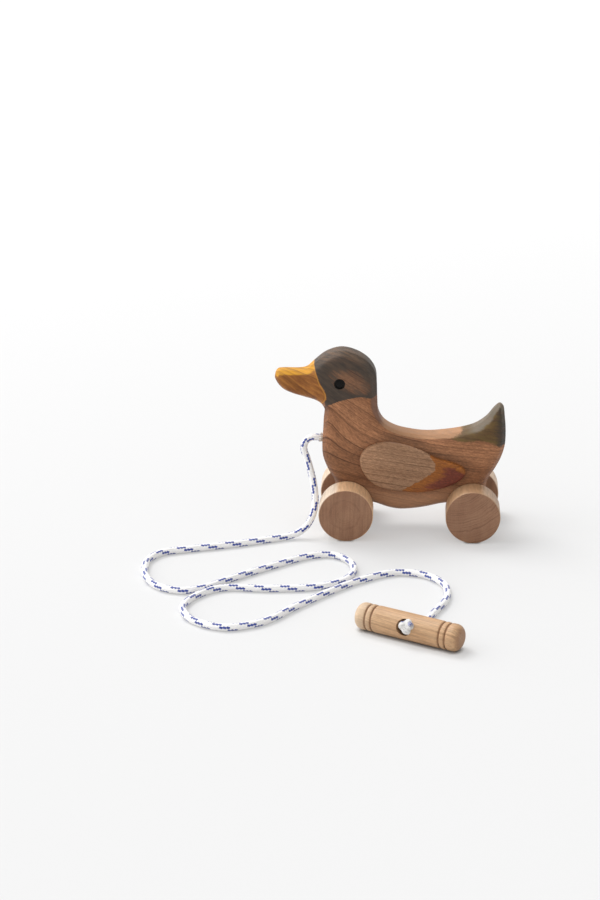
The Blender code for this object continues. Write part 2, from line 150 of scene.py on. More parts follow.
# Wheels
FRONT_AXLE_X = -37.7
REAR_AXLE_X = 73.8
WHEEL_RADIUS = 24.0
WHEEL_WIDTH = 23.2
WHEEL_INNER_Y = 17.3
WHEEL_EDGE_RADIUS = 1.2
WHEEL_EDGE_STEPS = 5
WHEEL_BORE_DEPTH = 16.0
WHEEL_BORE_RADIUS = 4.3
WHEEL_FACE_RINGS = (6.0, 9.0, 12.0, 15.0, 18.0, 21.0)
WHEEL_CENTRE_RINGS = (3.0, 0.5)
WHEEL_TREAD_RINGS = (-6.0, 0.0, 6.0)
WHEEL_SIDES = 144
TREAD_START = 0.9
TREAD_FADE = 0.8
# Grain of each wheel: pith, ring spacing, strength of rings and of saw marks, sapwood's side and the painted
# light on its tread
WHEEL_GRAINS = {
    "front_left": ((-1.0, 1.0), 3.0, 0.28, 0.11, (-1.0, 0.74)),
    "front_right": ((-8.0, -20.0), 2.4, 0.45, 0.05, (-1.0, 0.5)),
    "rear_left": ((-15.0, 38.0), 2.3, 0.72, 0.03, (1.0, 0.06)),
    "rear_right": ((3.0, -1.0), 2.8, 0.40, 0.10, (1.0, 0.4)),
}

# Handle, and its knot in the handle's own frame
HANDLE_LENGTH = 94.0
HANDLE_RADIUS = 11.1
HANDLE_END_RADIUS = 6.5
HANDLE_END_STEPS = 12
HANDLE_END_RINGS = (0.4, 2.0, 3.4)
HANDLE_END_FADE = 3.5
HANDLE_TURNED_INSET = 20.0
HANDLE_TURNED_STEP = 0.3
HANDLE_BAR_RINGS = (24.0, 18.0, 12.0, 6.0)
HANDLE_AT = (19.1, -241.1)
HANDLE_YAW = math.radians(-28.0)
HANDLE_ROLL = math.radians(-18.0)
GROOVE_INSETS = (11.0, 16.4)
GROOVE_WIDTH = 1.9
GROOVE_DEPTH = 1.0
GROOVE_TINT = (0.3, 0.6)
SHOULDER_DROP = 0.25
SHOULDER_FALL = 1.3
COUNTERBORE_RADIUS = 6.85
COUNTERBORE_SEAT = 3.5
HANDLE_BORE_RADIUS = 3.5
HANDLE_SIDES = 96
KNOT_AT = (1.7, -9.4, 0.9)
KNOT_REACH = 3.7
KNOT_LOBE = 1.7
KNOT_TURN = math.radians(160.0)
KNOT_POINTS = 160
KNOT_STRAND = 2.9
KNOT_END = ((1.6, -9.0, 1.0), (3.8, -10.6, 1.8), (6.0, -12.0, 2.5), (8.0, -12.6, 3.0))
KNOT_INK = (((7.2, -13.4, 5.1), 3.3), ((-1.6, -11.5, 5.2), 2.2))
KNOT_INK_FADE = 0.8
KNOT_TAPER = ((0.0, 0.5, 1.2), (0.75, 0.93, 1.0))
KNOT_END_TURN = 0.6
KNOT_STEP = 0.5
KNOT_SIDES = 35

# Cord
CORD_RADIUS = 3.0
CORD_FLOOR_Z = 3.15
CORD_START_INSET = 19.7
CORD_STEP = 0.54
CORD_SIDES = 42
FRAY_COUNT = 13
FRAY_WAY = np.array((-1.0, 0.0, 0.0))
FRAY_POINTS = 9
FRAY_SIDES = 7
FRAY_RADII = (0.42, 0.16)
FRAY_INSET = 2.7
FRAY_SEED = 11
FRAY_STRAY = 0.3
FRAY_REACH = (1.5, 4.2)
FRAY_CURL = (0.5, 1.9)
FRAY_BEND = 2.2
CORD_HANG = (
    (-66.6, 0.0, 82.7), (-71.6, -0.2, 81.4), (-75.2, -0.8, 77.4), (-75.9, -2.2, 71.6), (-73.2, -5.0, 64.6),
    (-69.1, -10.4, 52.6), (-66.0, -16.6, 40.0), (-65.1, -21.4, 31.0), (-66.6, -28.0, 20.9),
    (-71.6, -33.0, 11.8), (-79.2, -36.6, 6.0), (-87.6, -39.2, 3.6),
)
CORD_FLOOR = (
    (-99.0, -44.0), (-136.1, -59.0), (-175.5, -72.2), (-194.6, -79.6), (-205.4, -95.0), (-206.9, -117.3),
    (-202.3, -137.0), (-190.6, -153.4), (-173.0, -160.4), (-155.4, -155.0), (-134.1, -135.7),
    (-100.2, -106.4), (-66.5, -81.6), (-49.0, -78.4), (-35.2, -88.4), (-28.4, -109.0), (-35.2, -131.0),
    (-57.0, -146.8), (-98.7, -153.1), (-138.0, -153.6), (-157.0, -168.8), (-167.2, -193.0), (-158.6, -217.0),
    (-131.6, -232.0), (-101.2, -220.8), (-73.7, -187.4), (-45.8, -154.8), (-21.4, -131.2), (6.8, -114.6),
    (30.6, -118.2), (48.0, -138.0), (49.4, -167.0), (38.0, -198.0),
)
BRAID_ROWS = 7
BRAID_PERIOD = 21.6
BRAID_STITCHES = 8
BLUE_STITCHES = 3
BLUE_TILT = -0.30
BRAID_ROW_SHIFT = 2.0 / BRAID_ROWS
BRAID_PHASE = 0.26
BRAID_TURN = 0.89
BRAID_RELIEF = 0.20
BRAID_LEVEL = 0.7
BRAID_WHITES = ((0.80, 0.785, 0.77), (0.90, 0.89, 0.88))
# Darker whites of the same yarn, as painted shade on the knot in its counterbore
KNOT_WHITES_PAINTED_SHADE = ((0.52, 0.500, 0.475), (0.76, 0.745, 0.725))
BRAID_SLANT = 0.35
STITCH_FALL = 2.8

# Woods, as pale, deep and growth line where there are three
BODY_WOOD = ((0.374, 0.169, 0.080), (0.254, 0.107, 0.048), (0.080, 0.030, 0.014))
WING_WOOD = ((0.408, 0.229, 0.129), (0.331, 0.176, 0.095), (0.108, 0.052, 0.026))
HANDLE_WOOD = ((0.570, 0.366, 0.209), (0.470, 0.277, 0.143), (0.250, 0.116, 0.049))
AXLE_WOOD = ((0.60, 0.43, 0.28), (0.50, 0.34, 0.21), (0.34, 0.20, 0.11))
# Colours of painted shade on the nape, painted highlight on the crest and painted floor light on the belly
NAPE_PAINTED_SHADE = (0.165, 0.086, 0.058)
CREST_PAINTED_HIGHLIGHT = (0.565, 0.320, 0.168)
BELLY_PAINTED_BOUNCE = (0.448, 0.245, 0.137)
WING_PORE = (0.126, 0.060, 0.030)
WHEEL_FACES = ((0.265, 0.130, 0.070), (0.308, 0.160, 0.089))
WHEEL_RING = (0.140, 0.062, 0.031)
WHEEL_TREADS = ((0.349, 0.196, 0.103), (0.423, 0.257, 0.143))
# Painted highlight on the treads of the lit wheels
TREAD_PAINTED_HIGHLIGHT = (0.83, 0.525, 0.300)
SAPWOOD = (0.675, 0.542, 0.417)
HANDLE_PORE = (0.258, 0.120, 0.045)
# Painted highlight at the handle's far end, then its end grain, which painted shade darkens at the near end
HANDLE_FAR_PAINTED_HIGHLIGHT = (0.754, 0.621, 0.460)
HANDLE_END = (0.280, 0.140, 0.073)
GROOVE_BROWN = (0.194, 0.088, 0.039)

# Paints and yarns, dark first where there are two
HEAD_GREYS = ((0.041, 0.034, 0.028), (0.075, 0.054, 0.039))
TAIL_OLIVES = ((0.073, 0.046, 0.016), (0.125, 0.078, 0.024))
TAIL_GREY = (0.027, 0.030, 0.026)
# Painted grey sheen on the tail's top
TAIL_TOP_PAINTED_SHEEN = (0.150, 0.132, 0.101)
BEAK_OCHRES = ((0.216, 0.073, 0.017), (0.394, 0.158, 0.032))
# Painted golden highlight on the beak's top
BEAK_TOP_PAINTED_HIGHLIGHT = (0.70, 0.335, 0.016)
BEAK_LINE = (0.108, 0.037, 0.010)
BEAK_BAND = (0.158, 0.054, 0.012)
BEAK_BRIM = (0.544, 0.255, 0.043)
EYE_BLACKS = ((0.012, 0.011, 0.010), (0.035, 0.028, 0.022))
TIP_OCHRES = ((0.264, 0.076, 0.014), (0.368, 0.132, 0.024))
TIP_RED = (0.170, 0.038, 0.022)
TIP_LINE = (0.080, 0.024, 0.011)
TIP_PORE = (0.088, 0.026, 0.011)
BRAID_BLUES = ((0.016, 0.032, 0.20), (0.040, 0.080, 0.40))
KNOT_BLUE = (0.04, 0.07, 0.33)
FRAY_YARNS = ((0.50, 0.36, 0.22), (0.82, 0.76, 0.66))

# Edges of the stained parts, seen from the side, with heights from the floor
TAIL_REAR_EDGE = ((101.0, 80.0), (99.5, 118.0))
# Rise of the wing's outline, for the painted shade on the body beside the wing
WING_SHADE_RISE = 2.0
COLLAR = ((-56.0, 116.4), (-54.4, 117.5), (-45.7, 121.5), (-36.3, 124.3), (-25.7, 126.1), (-16.1, 124.3),
          (-11.7, 125.5), (5.0, 127.0))
BEAK_EDGE = ((-66.2, 166.0), (-65.7, 159.7), (-67.6, 154.3), (-65.3, 147.7), (-61.6, 137.7), (-56.5, 129.4),
             (-55.8, 123.3), (-57.9, 120.2))
HEAD_PAINT = (*COLLAR, (5.0, 190.0), (-75.0, 190.0), *BEAK_EDGE)
BEAK_PAINT = (*BEAK_EDGE, (-59.5, 117.5), (-62.0, 112.0), (-130.0, 100.0), (-130.0, 190.0), (-70.0, 190.0))
TAIL_PAINT = ((53.6, 87.2), (63.1, 85.5), (71.2, 86.1), (77.8, 87.3), (90.2, 85.1), (94.9, 81.4),
              (99.5, 81.5), (112.0, 80.0), (112.0, 130.0), (70.0, 130.0), (66.0, 104.0), (67.1, 98.4),
              (62.0, 91.0))
WING_PAINT = ((35.4, 84.0), (35.4, 72.8), (40.4, 67.3), (39.6, 59.2), (27.4, 50.8), (13.1, 42.3), (8.0, 36.0),
              (80.0, 30.0), (80.0, 84.0))


class Value:
    """A node's output, which plain arithmetic turns into further nodes."""

    def __init__(self, tree, socket):
        self.tree = tree
        self.socket = socket

    def __add__(self, other):
        return self.tree.math("ADD", self, other)

    def __sub__(self, other):
        return self.tree.math("SUBTRACT", self, other)

    def __rsub__(self, other):
        return self.tree.math("SUBTRACT", other, self)

    def __mul__(self, other):
        return self.tree.math("MULTIPLY", self, other)

    def __truediv__(self, other):
        return self.tree.math("DIVIDE", self, other)

    def __abs__(self):
        return self.tree.math("ABSOLUTE", self)

    def __floor__(self):
        return self.tree.math("FLOOR", self)

    def span(self, low, high, start=0.0, end=1.0):
        """Smooth step from start to end while this value goes from low to high."""
        inputs = {"Value": self, "From Min": low, "From Max": high, "To Min": start, "To Max": end}
        return self.tree.made("ShaderNodeMapRange", inputs, interpolation_type="SMOOTHSTEP")

    def fade(self, low, high):
        """Smooth step from 1 to 0 while this value goes from low to high."""
        return self.span(low, high, 1.0, 0.0)

    def stretched(self):
        """Noise from 0 to 1 that keeps to the middle, stretched to its ends."""
        return self.span(0.3, 0.7)

    def noise(self, lengths, detail=2.0, roughness=0.5):
        """Noise from 0 to 1 at this place, whose features have the given lengths along the three axes."""
        scaled = self.tree.made("ShaderNodeVectorMath", {0: self, 1: lengths}, operation="DIVIDE")
        inputs = {"Vector": scaled, "Scale": 1.0, "Detail": detail, "Roughness": roughness}
        return self.tree.made("ShaderNodeTexNoise", inputs, "Fac")


class Tree:
    """Writes the nodes of a new material or world. An input is a number, a vector, a colour or a Value."""

    def __init__(self, name, kind="materials"):
        self.owner = getattr(bpy.data, kind).new(name)
        self.owner.use_nodes = True
        self.nodes = self.owner.node_tree.nodes
        self.shader = self.nodes.get("Principled BSDF")

    def put(self, socket, value):
        if isinstance(value, Value):
            self.owner.node_tree.links.new(value.socket, socket)
        elif isinstance(value, tuple) and len(value) == 3 and len(socket.default_value) == 4:
            socket.default_value = (*value, 1.0)
        else:
            socket.default_value = value

    def made(self, kind, inputs, output=0, **settings):
        """Output of a new node with these inputs, each by its name or number, and these settings."""
        node = self.nodes.new(kind)
        for name, value in settings.items():
            setattr(node, name, value)
        for name, value in inputs.items():
            self.put(node.inputs[name], value)
        return Value(self, node.outputs[output])

    def math(self, operation, *values):
        return self.made("ShaderNodeMath", dict(enumerate(values)), operation=operation)

    def attribute(self, name):
        return self.made("ShaderNodeAttribute", {}, "Fac", attribute_name=name)

    def vector(self, *values):
        return self.made("ShaderNodeCombineXYZ", dict(enumerate(values)))

    def parts(self, vector):
        """The three numbers of a vector."""
        node = self.nodes.new("ShaderNodeSeparateXYZ")
        self.put(node.inputs[0], vector)
        return [Value(self, socket) for socket in node.outputs]

    def place(self):
        """Place on the object, in millimetres, as three numbers."""
        return [part * (1 / MM) for part in self.parts(self.made("ShaderNodeTexCoord", {}, "Object"))]

    def surface(self, name):
        """Coordinates of a UV map, as two numbers."""
        return self.parts(self.made("ShaderNodeUVMap", {}, uv_map=name))[:2]

    def blend(self, factor, first, second):
        inputs = {"Factor": factor, "A": first, "B": second}
        return self.made("ShaderNodeMix", inputs, "Result", data_type="RGBA")

    def scaled(self, colour, factor):
        """Colour times a number."""
        return self.made("ShaderNodeVectorMath", {0: colour, "Scale": factor}, operation="SCALE")

    def varied(self, colour, value, strength):
        """Colour made darker and lighter by a value from 0 to 1."""
        return self.scaled(colour, (value - 0.5) * (2.0 * strength) + 1.0)

    def finish(self, colour, roughness, specular, height=None, relief=0.0):
        """Sets the surface, with the height's whole range as a relief in millimetres."""
        inputs = {"Base Color": colour, "Roughness": roughness, "Specular IOR Level": specular}
        if height is not None:
            inputs["Normal"] = self.made("ShaderNodeBump", {"Distance": relief * MM, "Height": height})
        for name, value in inputs.items():
            self.put(self.shader.inputs[name], value)
        return self.owner


def smooth_path(points, step, closed):
    """Points along a centripetal spline, each span cut into lengths of about one step."""
    pts = [np.array(p, float) for p in points]
    if closed:
        ring = [pts[-1], *pts, pts[0], pts[1]]
    else:
        ring = [2 * pts[0] - pts[1], *pts, 2 * pts[-1] - pts[-2]]
    path = []
    for span in zip(ring, ring[1:], ring[2:], ring[3:]):
        knots = np.cumsum([0.0] + [np.linalg.norm(q - p) ** 0.5 for p, q in zip(span, span[1:])])
        cuts = max(2, math.ceil(np.linalg.norm(span[2] - span[1]) / step))
        for t in np.linspace(knots[1], knots[2], cuts, endpoint=False):
            path.append(spline_point(span, knots, t))
    if not closed:
        path.append(pts[-1])
    return np.array(path)


def spline_point(span, knots, t):
    """Point of the spline between the middle two of four points."""
    def mix(p, q, start, end):
        return (p * (end - t) + q * (t - start)) / (end - start)

    first, middle, last = (mix(span[i], span[i + 1], knots[i], knots[i + 1]) for i in range(3))
    low = mix(first, middle, knots[0], knots[2])
    high = mix(middle, last, knots[1], knots[3])
    return mix(low, high, knots[1], knots[2])


def evenly_spaced(path, spacing):
    """The same path with points a fixed length apart."""
    along = np.concatenate([[0.0], np.cumsum(np.linalg.norm(np.diff(path, axis=0), axis=1))])
    stations = np.linspace(0.0, along[-1], round(along[-1] / spacing) + 1)
    return np.stack([np.interp(stations, along, path[:, k]) for k in range(3)], axis=1), stations


def edge_distance(points, loop):
    """Shortest distance from each point to a closed loop."""
    points = np.array(points)
    start = np.array(loop)
    run = np.roll(start, -1, axis=0) - start
    nearest = np.full(len(points), np.inf)
    for corner, way in zip(start, run):
        offset = points - corner
        share = np.clip(offset @ way / (way @ way), 0.0, 1.0)
        nearest = np.minimum(nearest, np.linalg.norm(offset - share[:, None] * way, axis=1))
    return nearest


def inside_loop(points, loop):
    """Even-odd test of points against a closed loop."""
    x, z = np.array(points).T
    inside = np.zeros(len(x), bool)
    for (x0, z0), (x1, z1) in zip(loop, np.roll(loop, -1, axis=0)):
        if z0 != z1:
            crossing = x0 + (z - z0) * (x1 - x0) / (z1 - z0)
            inside ^= ((z0 > z) != (z1 > z)) & (x < crossing)
    return inside


def depth_inside(points, loop):
    """Distance to a loop, positive inside it."""
    distance = edge_distance(points, loop)
    return np.where(inside_loop(points, np.array(loop)), distance, -distance)


def faced_outline(loop, roundover, rings, grid):
    """Triangles that fill a loop, with rings of points where the edge is rounded over.

    Returns the points, each one's distance to the edge, the triangles, and the loop's own points in order.
    """
    area = 0.5 * np.sum(loop[:, 0] * np.roll(loop[:, 1], -1) - loop[:, 1] * np.roll(loop[:, 0], -1))
    if area < 0:
        loop = loop[::-1]
    along = np.roll(loop, -1, axis=0) - np.roll(loop, 1, axis=0)
    inward = np.stack([-along[:, 1], along[:, 0]], axis=1) / np.linalg.norm(along, axis=1)[:, None]
    points = [tuple(p) for p in loop]
    for ring in range(1, rings + 1):
        depth = roundover * (1 - math.cos(math.pi / 2 * ring / rings))
        shifted = loop + inward * depth
        keep = inside_loop(shifted, loop) & (edge_distance(shifted, loop) > RING_FIT * depth)
        points += [tuple(p) for p in shifted[keep]]
    low, high = loop.min(axis=0), loop.max(axis=0)
    spots = [(x, z) for x in np.arange(low[0], high[0], grid) for z in np.arange(low[1], high[1], grid)]
    deep = inside_loop(spots, loop) & (edge_distance(spots, loop) > roundover + grid / 2)
    points += [spot for spot, kept in zip(spots, deep) if kept]
    count = len(loop)
    edges = [(i, (i + 1) % count) for i in range(count)]
    filled = delaunay_2d_cdt([Vector(p) for p in points], edges, [], 1, 1e-6)
    flat = np.array([tuple(v) for v in filled[0]])
    where = {source: i for i, sources in enumerate(filled[3]) for source in sources}
    return flat, edge_distance(flat, loop), filled[2], [where[source] for source in range(count)]


def rounded(distance, radius):
    """Rise of a rounded edge at a distance from the outline."""
    reach = np.clip(distance / radius, 0.0, 1.0)
    return radius * np.sqrt(1.0 - (1.0 - reach) ** 2)


def facet_share(flat):
    """Share of the roundover that the carved facet takes near each point."""
    weights, total = 0.0, 0.0
    for x, z, share in EDGE_FACETS:
        weight = (np.hypot(flat[:, 0] - x, flat[:, 1] - z) + FACET_BLEND) ** -FACET_FALL
        weights, total = weights + weight, total + weight * share
    return total / weights


def carved(distance, radius, facet):
    """Rise of a carved edge: a flat facet along the outline, then a rounded shoulder."""
    reach = np.clip(distance / radius, 0.0, 1.0)
    top = 1.0 - (1.0 - facet) ** FACET_STEEPNESS
    beyond = np.clip((reach - facet) / (1.0 - facet), 0.0, 1.0)
    shoulder = top + (1.0 - top) * beyond * (1.5 - 0.5 * beyond)
    return radius * np.where(reach < facet, top * reach / facet, shoulder)


def smoothstep(value):
    value = np.clip(value, 0.0, 1.0)
    return value * value * (3.0 - 2.0 * value)


def body_half_thickness(flat):
    """Half thickness and roundover of the body at each point: thinner along the beak and up the tail."""
    x, z = flat.T
    beak = smoothstep((BEAK_ROOT_X - x) / (BEAK_ROOT_X - BEAK_BLADE_X))
    rise = np.clip((z - TAIL_TAPER_Z[0]) / (TAIL_TAPER_Z[1] - TAIL_TAPER_Z[0]), 0.0, 1.0)
    back = smoothstep((x - TAIL_TAPER_X[0]) / (TAIL_TAPER_X[1] - TAIL_TAPER_X[0]))
    tail = rise ** TAIL_TAPER_POWER * back
    half = BODY_SIDE + beak * (BEAK_SIDE - BODY_SIDE) + tail * (TAIL_SIDE - BODY_SIDE)
    roundover = (BODY_ROUNDOVER + beak * (BEAK_ROUNDOVER - BODY_ROUNDOVER)
                 + tail * (TAIL_ROUNDOVER - BODY_ROUNDOVER))
    return half, roundover


def leg_arc(axle_x, angles):
    """Round end of a leg, about its axle."""
    turns = [math.radians(a) for a in angles]
    return [(axle_x + LEG_RADIUS * math.cos(t), LEG_RADIUS * math.sin(t)) for t in turns]


def stand_up(flat, near, far, triangles, order, bands):
    """Closed solid between a near and a far sheet over the same triangles, with a rim of several bands."""
    bm = bmesh.new()
    front = [bm.verts.new((x, y, z)) for (x, z), y in zip(flat, near)]
    back = [bm.verts.new((x, y, z)) for (x, z), y in zip(flat, far)]
    for a, b, c in triangles:
        bm.faces.new((front[a], front[b], front[c]))
        bm.faces.new((back[c], back[b], back[a]))
    rows = [[front[i] for i in order]]
    for band in range(1, bands):
        share = band / bands
        rows.append([bm.verts.new(front[i].co.lerp(back[i].co, share)) for i in order])
    rows.append([back[i] for i in order])
    for upper, lower in zip(rows, rows[1:]):
        for i in range(len(order)):
            j = (i + 1) % len(order)
            bm.faces.new((upper[i], lower[i], lower[j], upper[j]))
    return bm


def turned(profile, sides):
    """Solid of revolution about Y from (along, radius) points, closed by flat ends."""
    bm = bmesh.new()
    ring = [bm.verts.new((r, y, 0.0)) for y, r in profile]
    edges = [bm.edges.new(pair) for pair in zip(ring, ring[1:])]
    bmesh.ops.spin(bm, geom=ring + edges, cent=(0, 0, 0), axis=(0, 1, 0), angle=2 * math.pi, steps=sides,
                   use_merge=True)
    bmesh.ops.holes_fill(bm, edges=[e for e in bm.edges if e.is_boundary], sides=sides)
    return bm


def linked(name, data):
    """New object in the scene with a mesh, camera or lamp."""
    item = bpy.data.objects.new(name, data)
    bpy.context.collection.objects.link(item)
    return item


def tubes_piece(name, tubes, material):
    """Turns tubes in millimetres into one object in metres, shaded smooth."""
    vertices, faces = [], []
    for points, rings in tubes:
        faces += [tuple(i + len(vertices) for i in face) for face in rings]
        vertices += (points * MM).tolist()
    mesh = bpy.data.meshes.new(name)
    mesh.from_pydata(vertices, [], faces)
    mesh.materials.append(material)
    mesh.shade_smooth()
    return linked(name, mesh)


def add_piece(name, bm):
    """Turns a bmesh in millimetres into an object in metres, shaded smooth."""
    bmesh.ops.scale(bm, verts=bm.verts, vec=(MM, MM, MM))
    bmesh.ops.recalc_face_normals(bm, faces=bm.faces)
    mesh = bpy.data.meshes.new(name)
    bm.to_mesh(mesh)
    bm.free()
    mesh.shade_smooth()
    mesh.set_sharp_from_angle(angle=SHARP_EDGE)
    return linked(name, mesh)


def placed(x, y, z, turn=None):
    """Matrix in metres that carries a turned shape to a point."""
    return Matrix.Translation(Vector((x, y, z)) * MM) @ (turn or Matrix.Identity(4))


def drill(piece, holes):
    """Cuts turned shapes out of a piece and leaves its mesh plain."""
    cutters = []
    for profile, placing in holes:
        cutter = add_piece("cutter", turned(profile, HOLE_SIDES))
        cutter.matrix_world = placing
        cut = piece.modifiers.new("hole", "BOOLEAN")
        cut.operation = "DIFFERENCE"
        cut.solver = "EXACT"
        cut.object = cutter
        cutters.append(cutter)
    bpy.context.view_layer.update()
    cut_mesh = bpy.data.meshes.new_from_object(piece.evaluated_get(bpy.context.evaluated_depsgraph_get()))
    piece.modifiers.clear()
    piece.data = cut_mesh
    for cutter in cutters:
        bpy.data.objects.remove(cutter, do_unlink=True)
    cut_mesh.shade_smooth()
    cut_mesh.set_sharp_from_angle(angle=SHARP_CUT)


def give_attribute(piece, name, values):
    attribute = piece.data.attributes.new(name, "FLOAT", "POINT")
    attribute.data.foreach_set("value", np.asarray(values, np.float32))


def side_points(piece):
    """Each vertex's x and z in millimetres."""
    places = np.zeros(len(piece.data.vertices) * 3, np.float32)
    piece.data.vertices.foreach_get("co", places)
    return places.reshape(-1, 3)[:, (0, 2)] / MM


def grain(tree, along, through, across, spacing, wander):
    """Growth lines, streaks, fibres and broad tone of sawn wood, each from 0 to 1."""
    field = tree.vector(along, through, across)
    drift = (field.noise((220.0, 80.0, 19.0), detail=1.0) - 0.5) * wander
    years = across / spacing + drift
    saw = tree.math("FRACT", years)
    edge = saw.span(0.85, 0.95) * saw.fade(0.955, 0.995)
    soft = saw.span(0.25, 0.95) * saw.fade(0.955, 0.995)
    fine_saw = tree.math("FRACT", years * 2.7)
    fine = fine_saw.span(0.7, 0.92) * fine_saw.fade(0.93, 1.0)
    presence = field.noise((70.0, 40.0, 8.0), detail=1.0).span(0.36, 0.60, 0.1, 1.0)
    faint = field.noise((45.0, 30.0, 5.0), detail=1.0).span(0.40, 0.62)
    return {
        "line": edge * presence,
        "fine": fine * faint,
        "band": soft,
        "streak": field.noise((28.0, 4.0, 1.8), detail=3.0, roughness=0.6),
        "fibre": field.noise((3.0, 1.2, 0.9), detail=3.0, roughness=0.75).stretched(),
        "tone": field.noise((60.0, 30.0, 14.0)),
    }


def wood_colour(tree, marks, pale, deep, line_colour, line=0.7, fine=0.3, band=0.15, streak=0.20, fibre=0.22):
    """Colour of wood from its grain marks."""
    colour = tree.blend(marks["tone"].stretched(), deep, pale)
    colour = tree.blend(marks["band"] * band, colour, line_colour)
    colour = tree.blend(marks["fine"] * fine, colour, line_colour)
    colour = tree.varied(colour, marks["streak"], streak)
    colour = tree.varied(colour, marks["fibre"], fibre)
    return tree.blend(marks["line"] * line, colour, line_colour)


def wood_height(marks):
    """Relief of wood: fibres, and growth lines sunk a little."""
    return marks["fibre"] - marks["line"] * 0.3


def wood_roughness(marks, least):
    """Roughness of oiled wood, highest on its fibres."""
    return marks["fibre"] * 0.15 + least


def paint_mask(tree, name, field, ragged, soft):
    """Stained area from its distance attribute, with a ragged edge, all in millimetres."""
    edge = (field.noise((2.2, 2.2, 1.6), detail=3.0) - 0.5) * (2.0 * ragged)
    return (tree.attribute(name) + edge).span(-soft, soft)


def body_grain(tree, x, y, z):
    """Grain of the board: growth lines run level at the tail and swing up through the neck to the beak."""
    sweep = x + y * 1.2
    bend = tree.math("EXPONENT", (sweep + 30.0) / -22.0) + 1.0
    rise = tree.math("LOGARITHM", bend, math.e) * 16.0 * z.span(60.0, 120.0, 0.3, 1.0)
    across = z + sweep * 0.12 - rise
    return across, grain(tree, x, y, across, 8.6, 2.2)


def head_paint(tree, colour, x, z, strokes, mask):
    """Thin dark paint on the head, worn to the wood behind the eye."""
    patch_x = (x + 34.0) / 19.0
    patch_z = (z - 140.0 + (x + 34.0) * 0.3) / 10.5
    reach = patch_x * patch_x + patch_z * patch_z
    cover = (reach + (strokes - 0.5) * 3.0).span(0.1, 1.3, 0.52, 0.97)
    crown = z.span(152.0, 162.0) * strokes.span(0.35, 0.65, 0.03, 0.17)
    grey = tree.blend(strokes.stretched(), *HEAD_GREYS)
    return tree.blend(mask * (cover - crown), colour, grey)


def tail_paint(tree, colour, strokes, top, mask):
    """Olive paint on the tail, grey towards its rear edge, with a painted grey sheen along its top."""
    rear = (tree.attribute("rear") + (strokes - 0.5) * 12.0).span(1.0, 11.0)
    olive = tree.blend(strokes.span(0.35, 0.65), *TAIL_OLIVES)
    olive = tree.blend(rear, TAIL_GREY, olive)
    # Painted sheen along the tail's top
    olive = tree.blend(top * 0.9, olive, TAIL_TOP_PAINTED_SHEEN)
    cover = strokes.span(0.3, 0.7, 0.82, 0.97)
    return tree.blend(mask * cover, colour, olive)


def beak_paint(tree, colour, marks, strokes, top, mask):
    """Ochre stain on the beak with a painted golden highlight on top, the grain showing and a bright line
    against the head.
    """
    ochre = tree.blend(strokes.stretched(), *BEAK_OCHRES)
    # Painted highlight on the beak's top
    ochre = tree.blend(top * 0.85, ochre, BEAK_TOP_PAINTED_HIGHLIGHT)
    ochre = tree.blend(marks["line"] * 0.6, ochre, BEAK_LINE)
    ochre = tree.blend(marks["band"] * 0.35, ochre, BEAK_BAND)
    ochre = tree.varied(ochre, marks["streak"], 0.35)
    depth = tree.attribute("beak") + (strokes - 0.5) * 1.6
    brim = depth.span(0.0, 0.7) * depth.fade(0.7, 1.6)
    ochre = tree.blend(brim * 0.7, ochre, BEAK_BRIM)
    return tree.blend(mask * 0.98, colour, ochre)


def body_wood(tree, marks, x, z, facet, upward):
    """Wood of the board, darker on its low breast, with painted highlight on its crest, painted floor light
    on its belly, and painted shade on its nape and above the wings.
    """
    colour = wood_colour(tree, marks, *BODY_WOOD, line=0.9, fine=0.50, band=0.2, streak=0.34, fibre=0.30)
    on_facet = facet.fade(0.85, 1.15)
    # Painted shade on the facet down the back of the neck, where the head shades it
    nape = on_facet * tree.attribute("rearward").span(0.15, 0.5) * z.span(84.0, 96.0)
    colour = tree.blend(nape * x.fade(10.0, 30.0) * 0.75, colour, NAPE_PAINTED_SHADE)
    # Painted highlight on the upward-facing facet along the crest
    crest = on_facet * upward.span(0.42, 0.74)
    colour = tree.blend(crest * 0.5, colour, CREST_PAINTED_HIGHLIGHT)
    low = z.fade(62.0, 92.0) * x.fade(-62.0, 30.0)
    colour = tree.scaled(colour, 1.0 - low * 0.3)
    # Painted bounce light from the floor on the lower belly
    belly = (z + marks["streak"] * 10.0).span(34.0, 54.0, 0.55, 0.0)
    colour = tree.blend(belly, colour, BELLY_PAINTED_BOUNCE)
    # Painted shade on the body above the wing and before it
    beside = tree.attribute("beside_wing").fade(0.0, 9.0)
    shade = beside * z.span(48.0, 78.0, 0.25, 1.0) * x.span(-28.0, 10.0, 0.1, 0.4)
    return tree.scaled(colour, 1.0 - shade)


def body_material():
    """The board's wood, with paint on its head, tail and beak."""
    tree = Tree("duck_wood")
    x, y, z = tree.place()
    across, marks = body_grain(tree, x, y, z)
    facet, upward = tree.attribute("facet"), tree.attribute("upward")
    colour = body_wood(tree, marks, x, z, facet, upward)
    strokes = tree.vector(x, y, across).noise((13.0, 8.0, 4.0), detail=4.0, roughness=0.6)
    # Upward-facing tops of the edge facets, where the tail and beak get painted highlight
    top = (facet + (strokes - 0.5) * 1.2).fade(0.8, 1.25) * upward.span(0.1, 0.35)
    spot = tree.vector(x, y, z)
    head = paint_mask(tree, "head", spot, 0.7, 0.4)
    tail = paint_mask(tree, "tail", spot, 1.6, 1.2)
    beak = paint_mask(tree, "beak", spot, 0.4, 0.3)
    colour = head_paint(tree, colour, x, z, strokes, head)
    colour = tail_paint(tree, colour, strokes, top * x.span(66.0, 76.0), tail)
    colour = beak_paint(tree, colour, marks, strokes, top, beak)
    return tree.finish(colour, wood_roughness(marks, 0.44), 0.22, wood_height(marks), 0.10)


def eye_material():
    tree = Tree("eye_black")
    spot = tree.vector(*tree.place())
    scuff = spot.noise((1.2, 1.2, 1.2), detail=3.0)
    colour = tree.blend(scuff.span(0.45, 0.8), *EYE_BLACKS)
    return tree.finish(colour, scuff.span(0.2, 0.8, 0.55, 0.75), 0.3, scuff, 0.15)


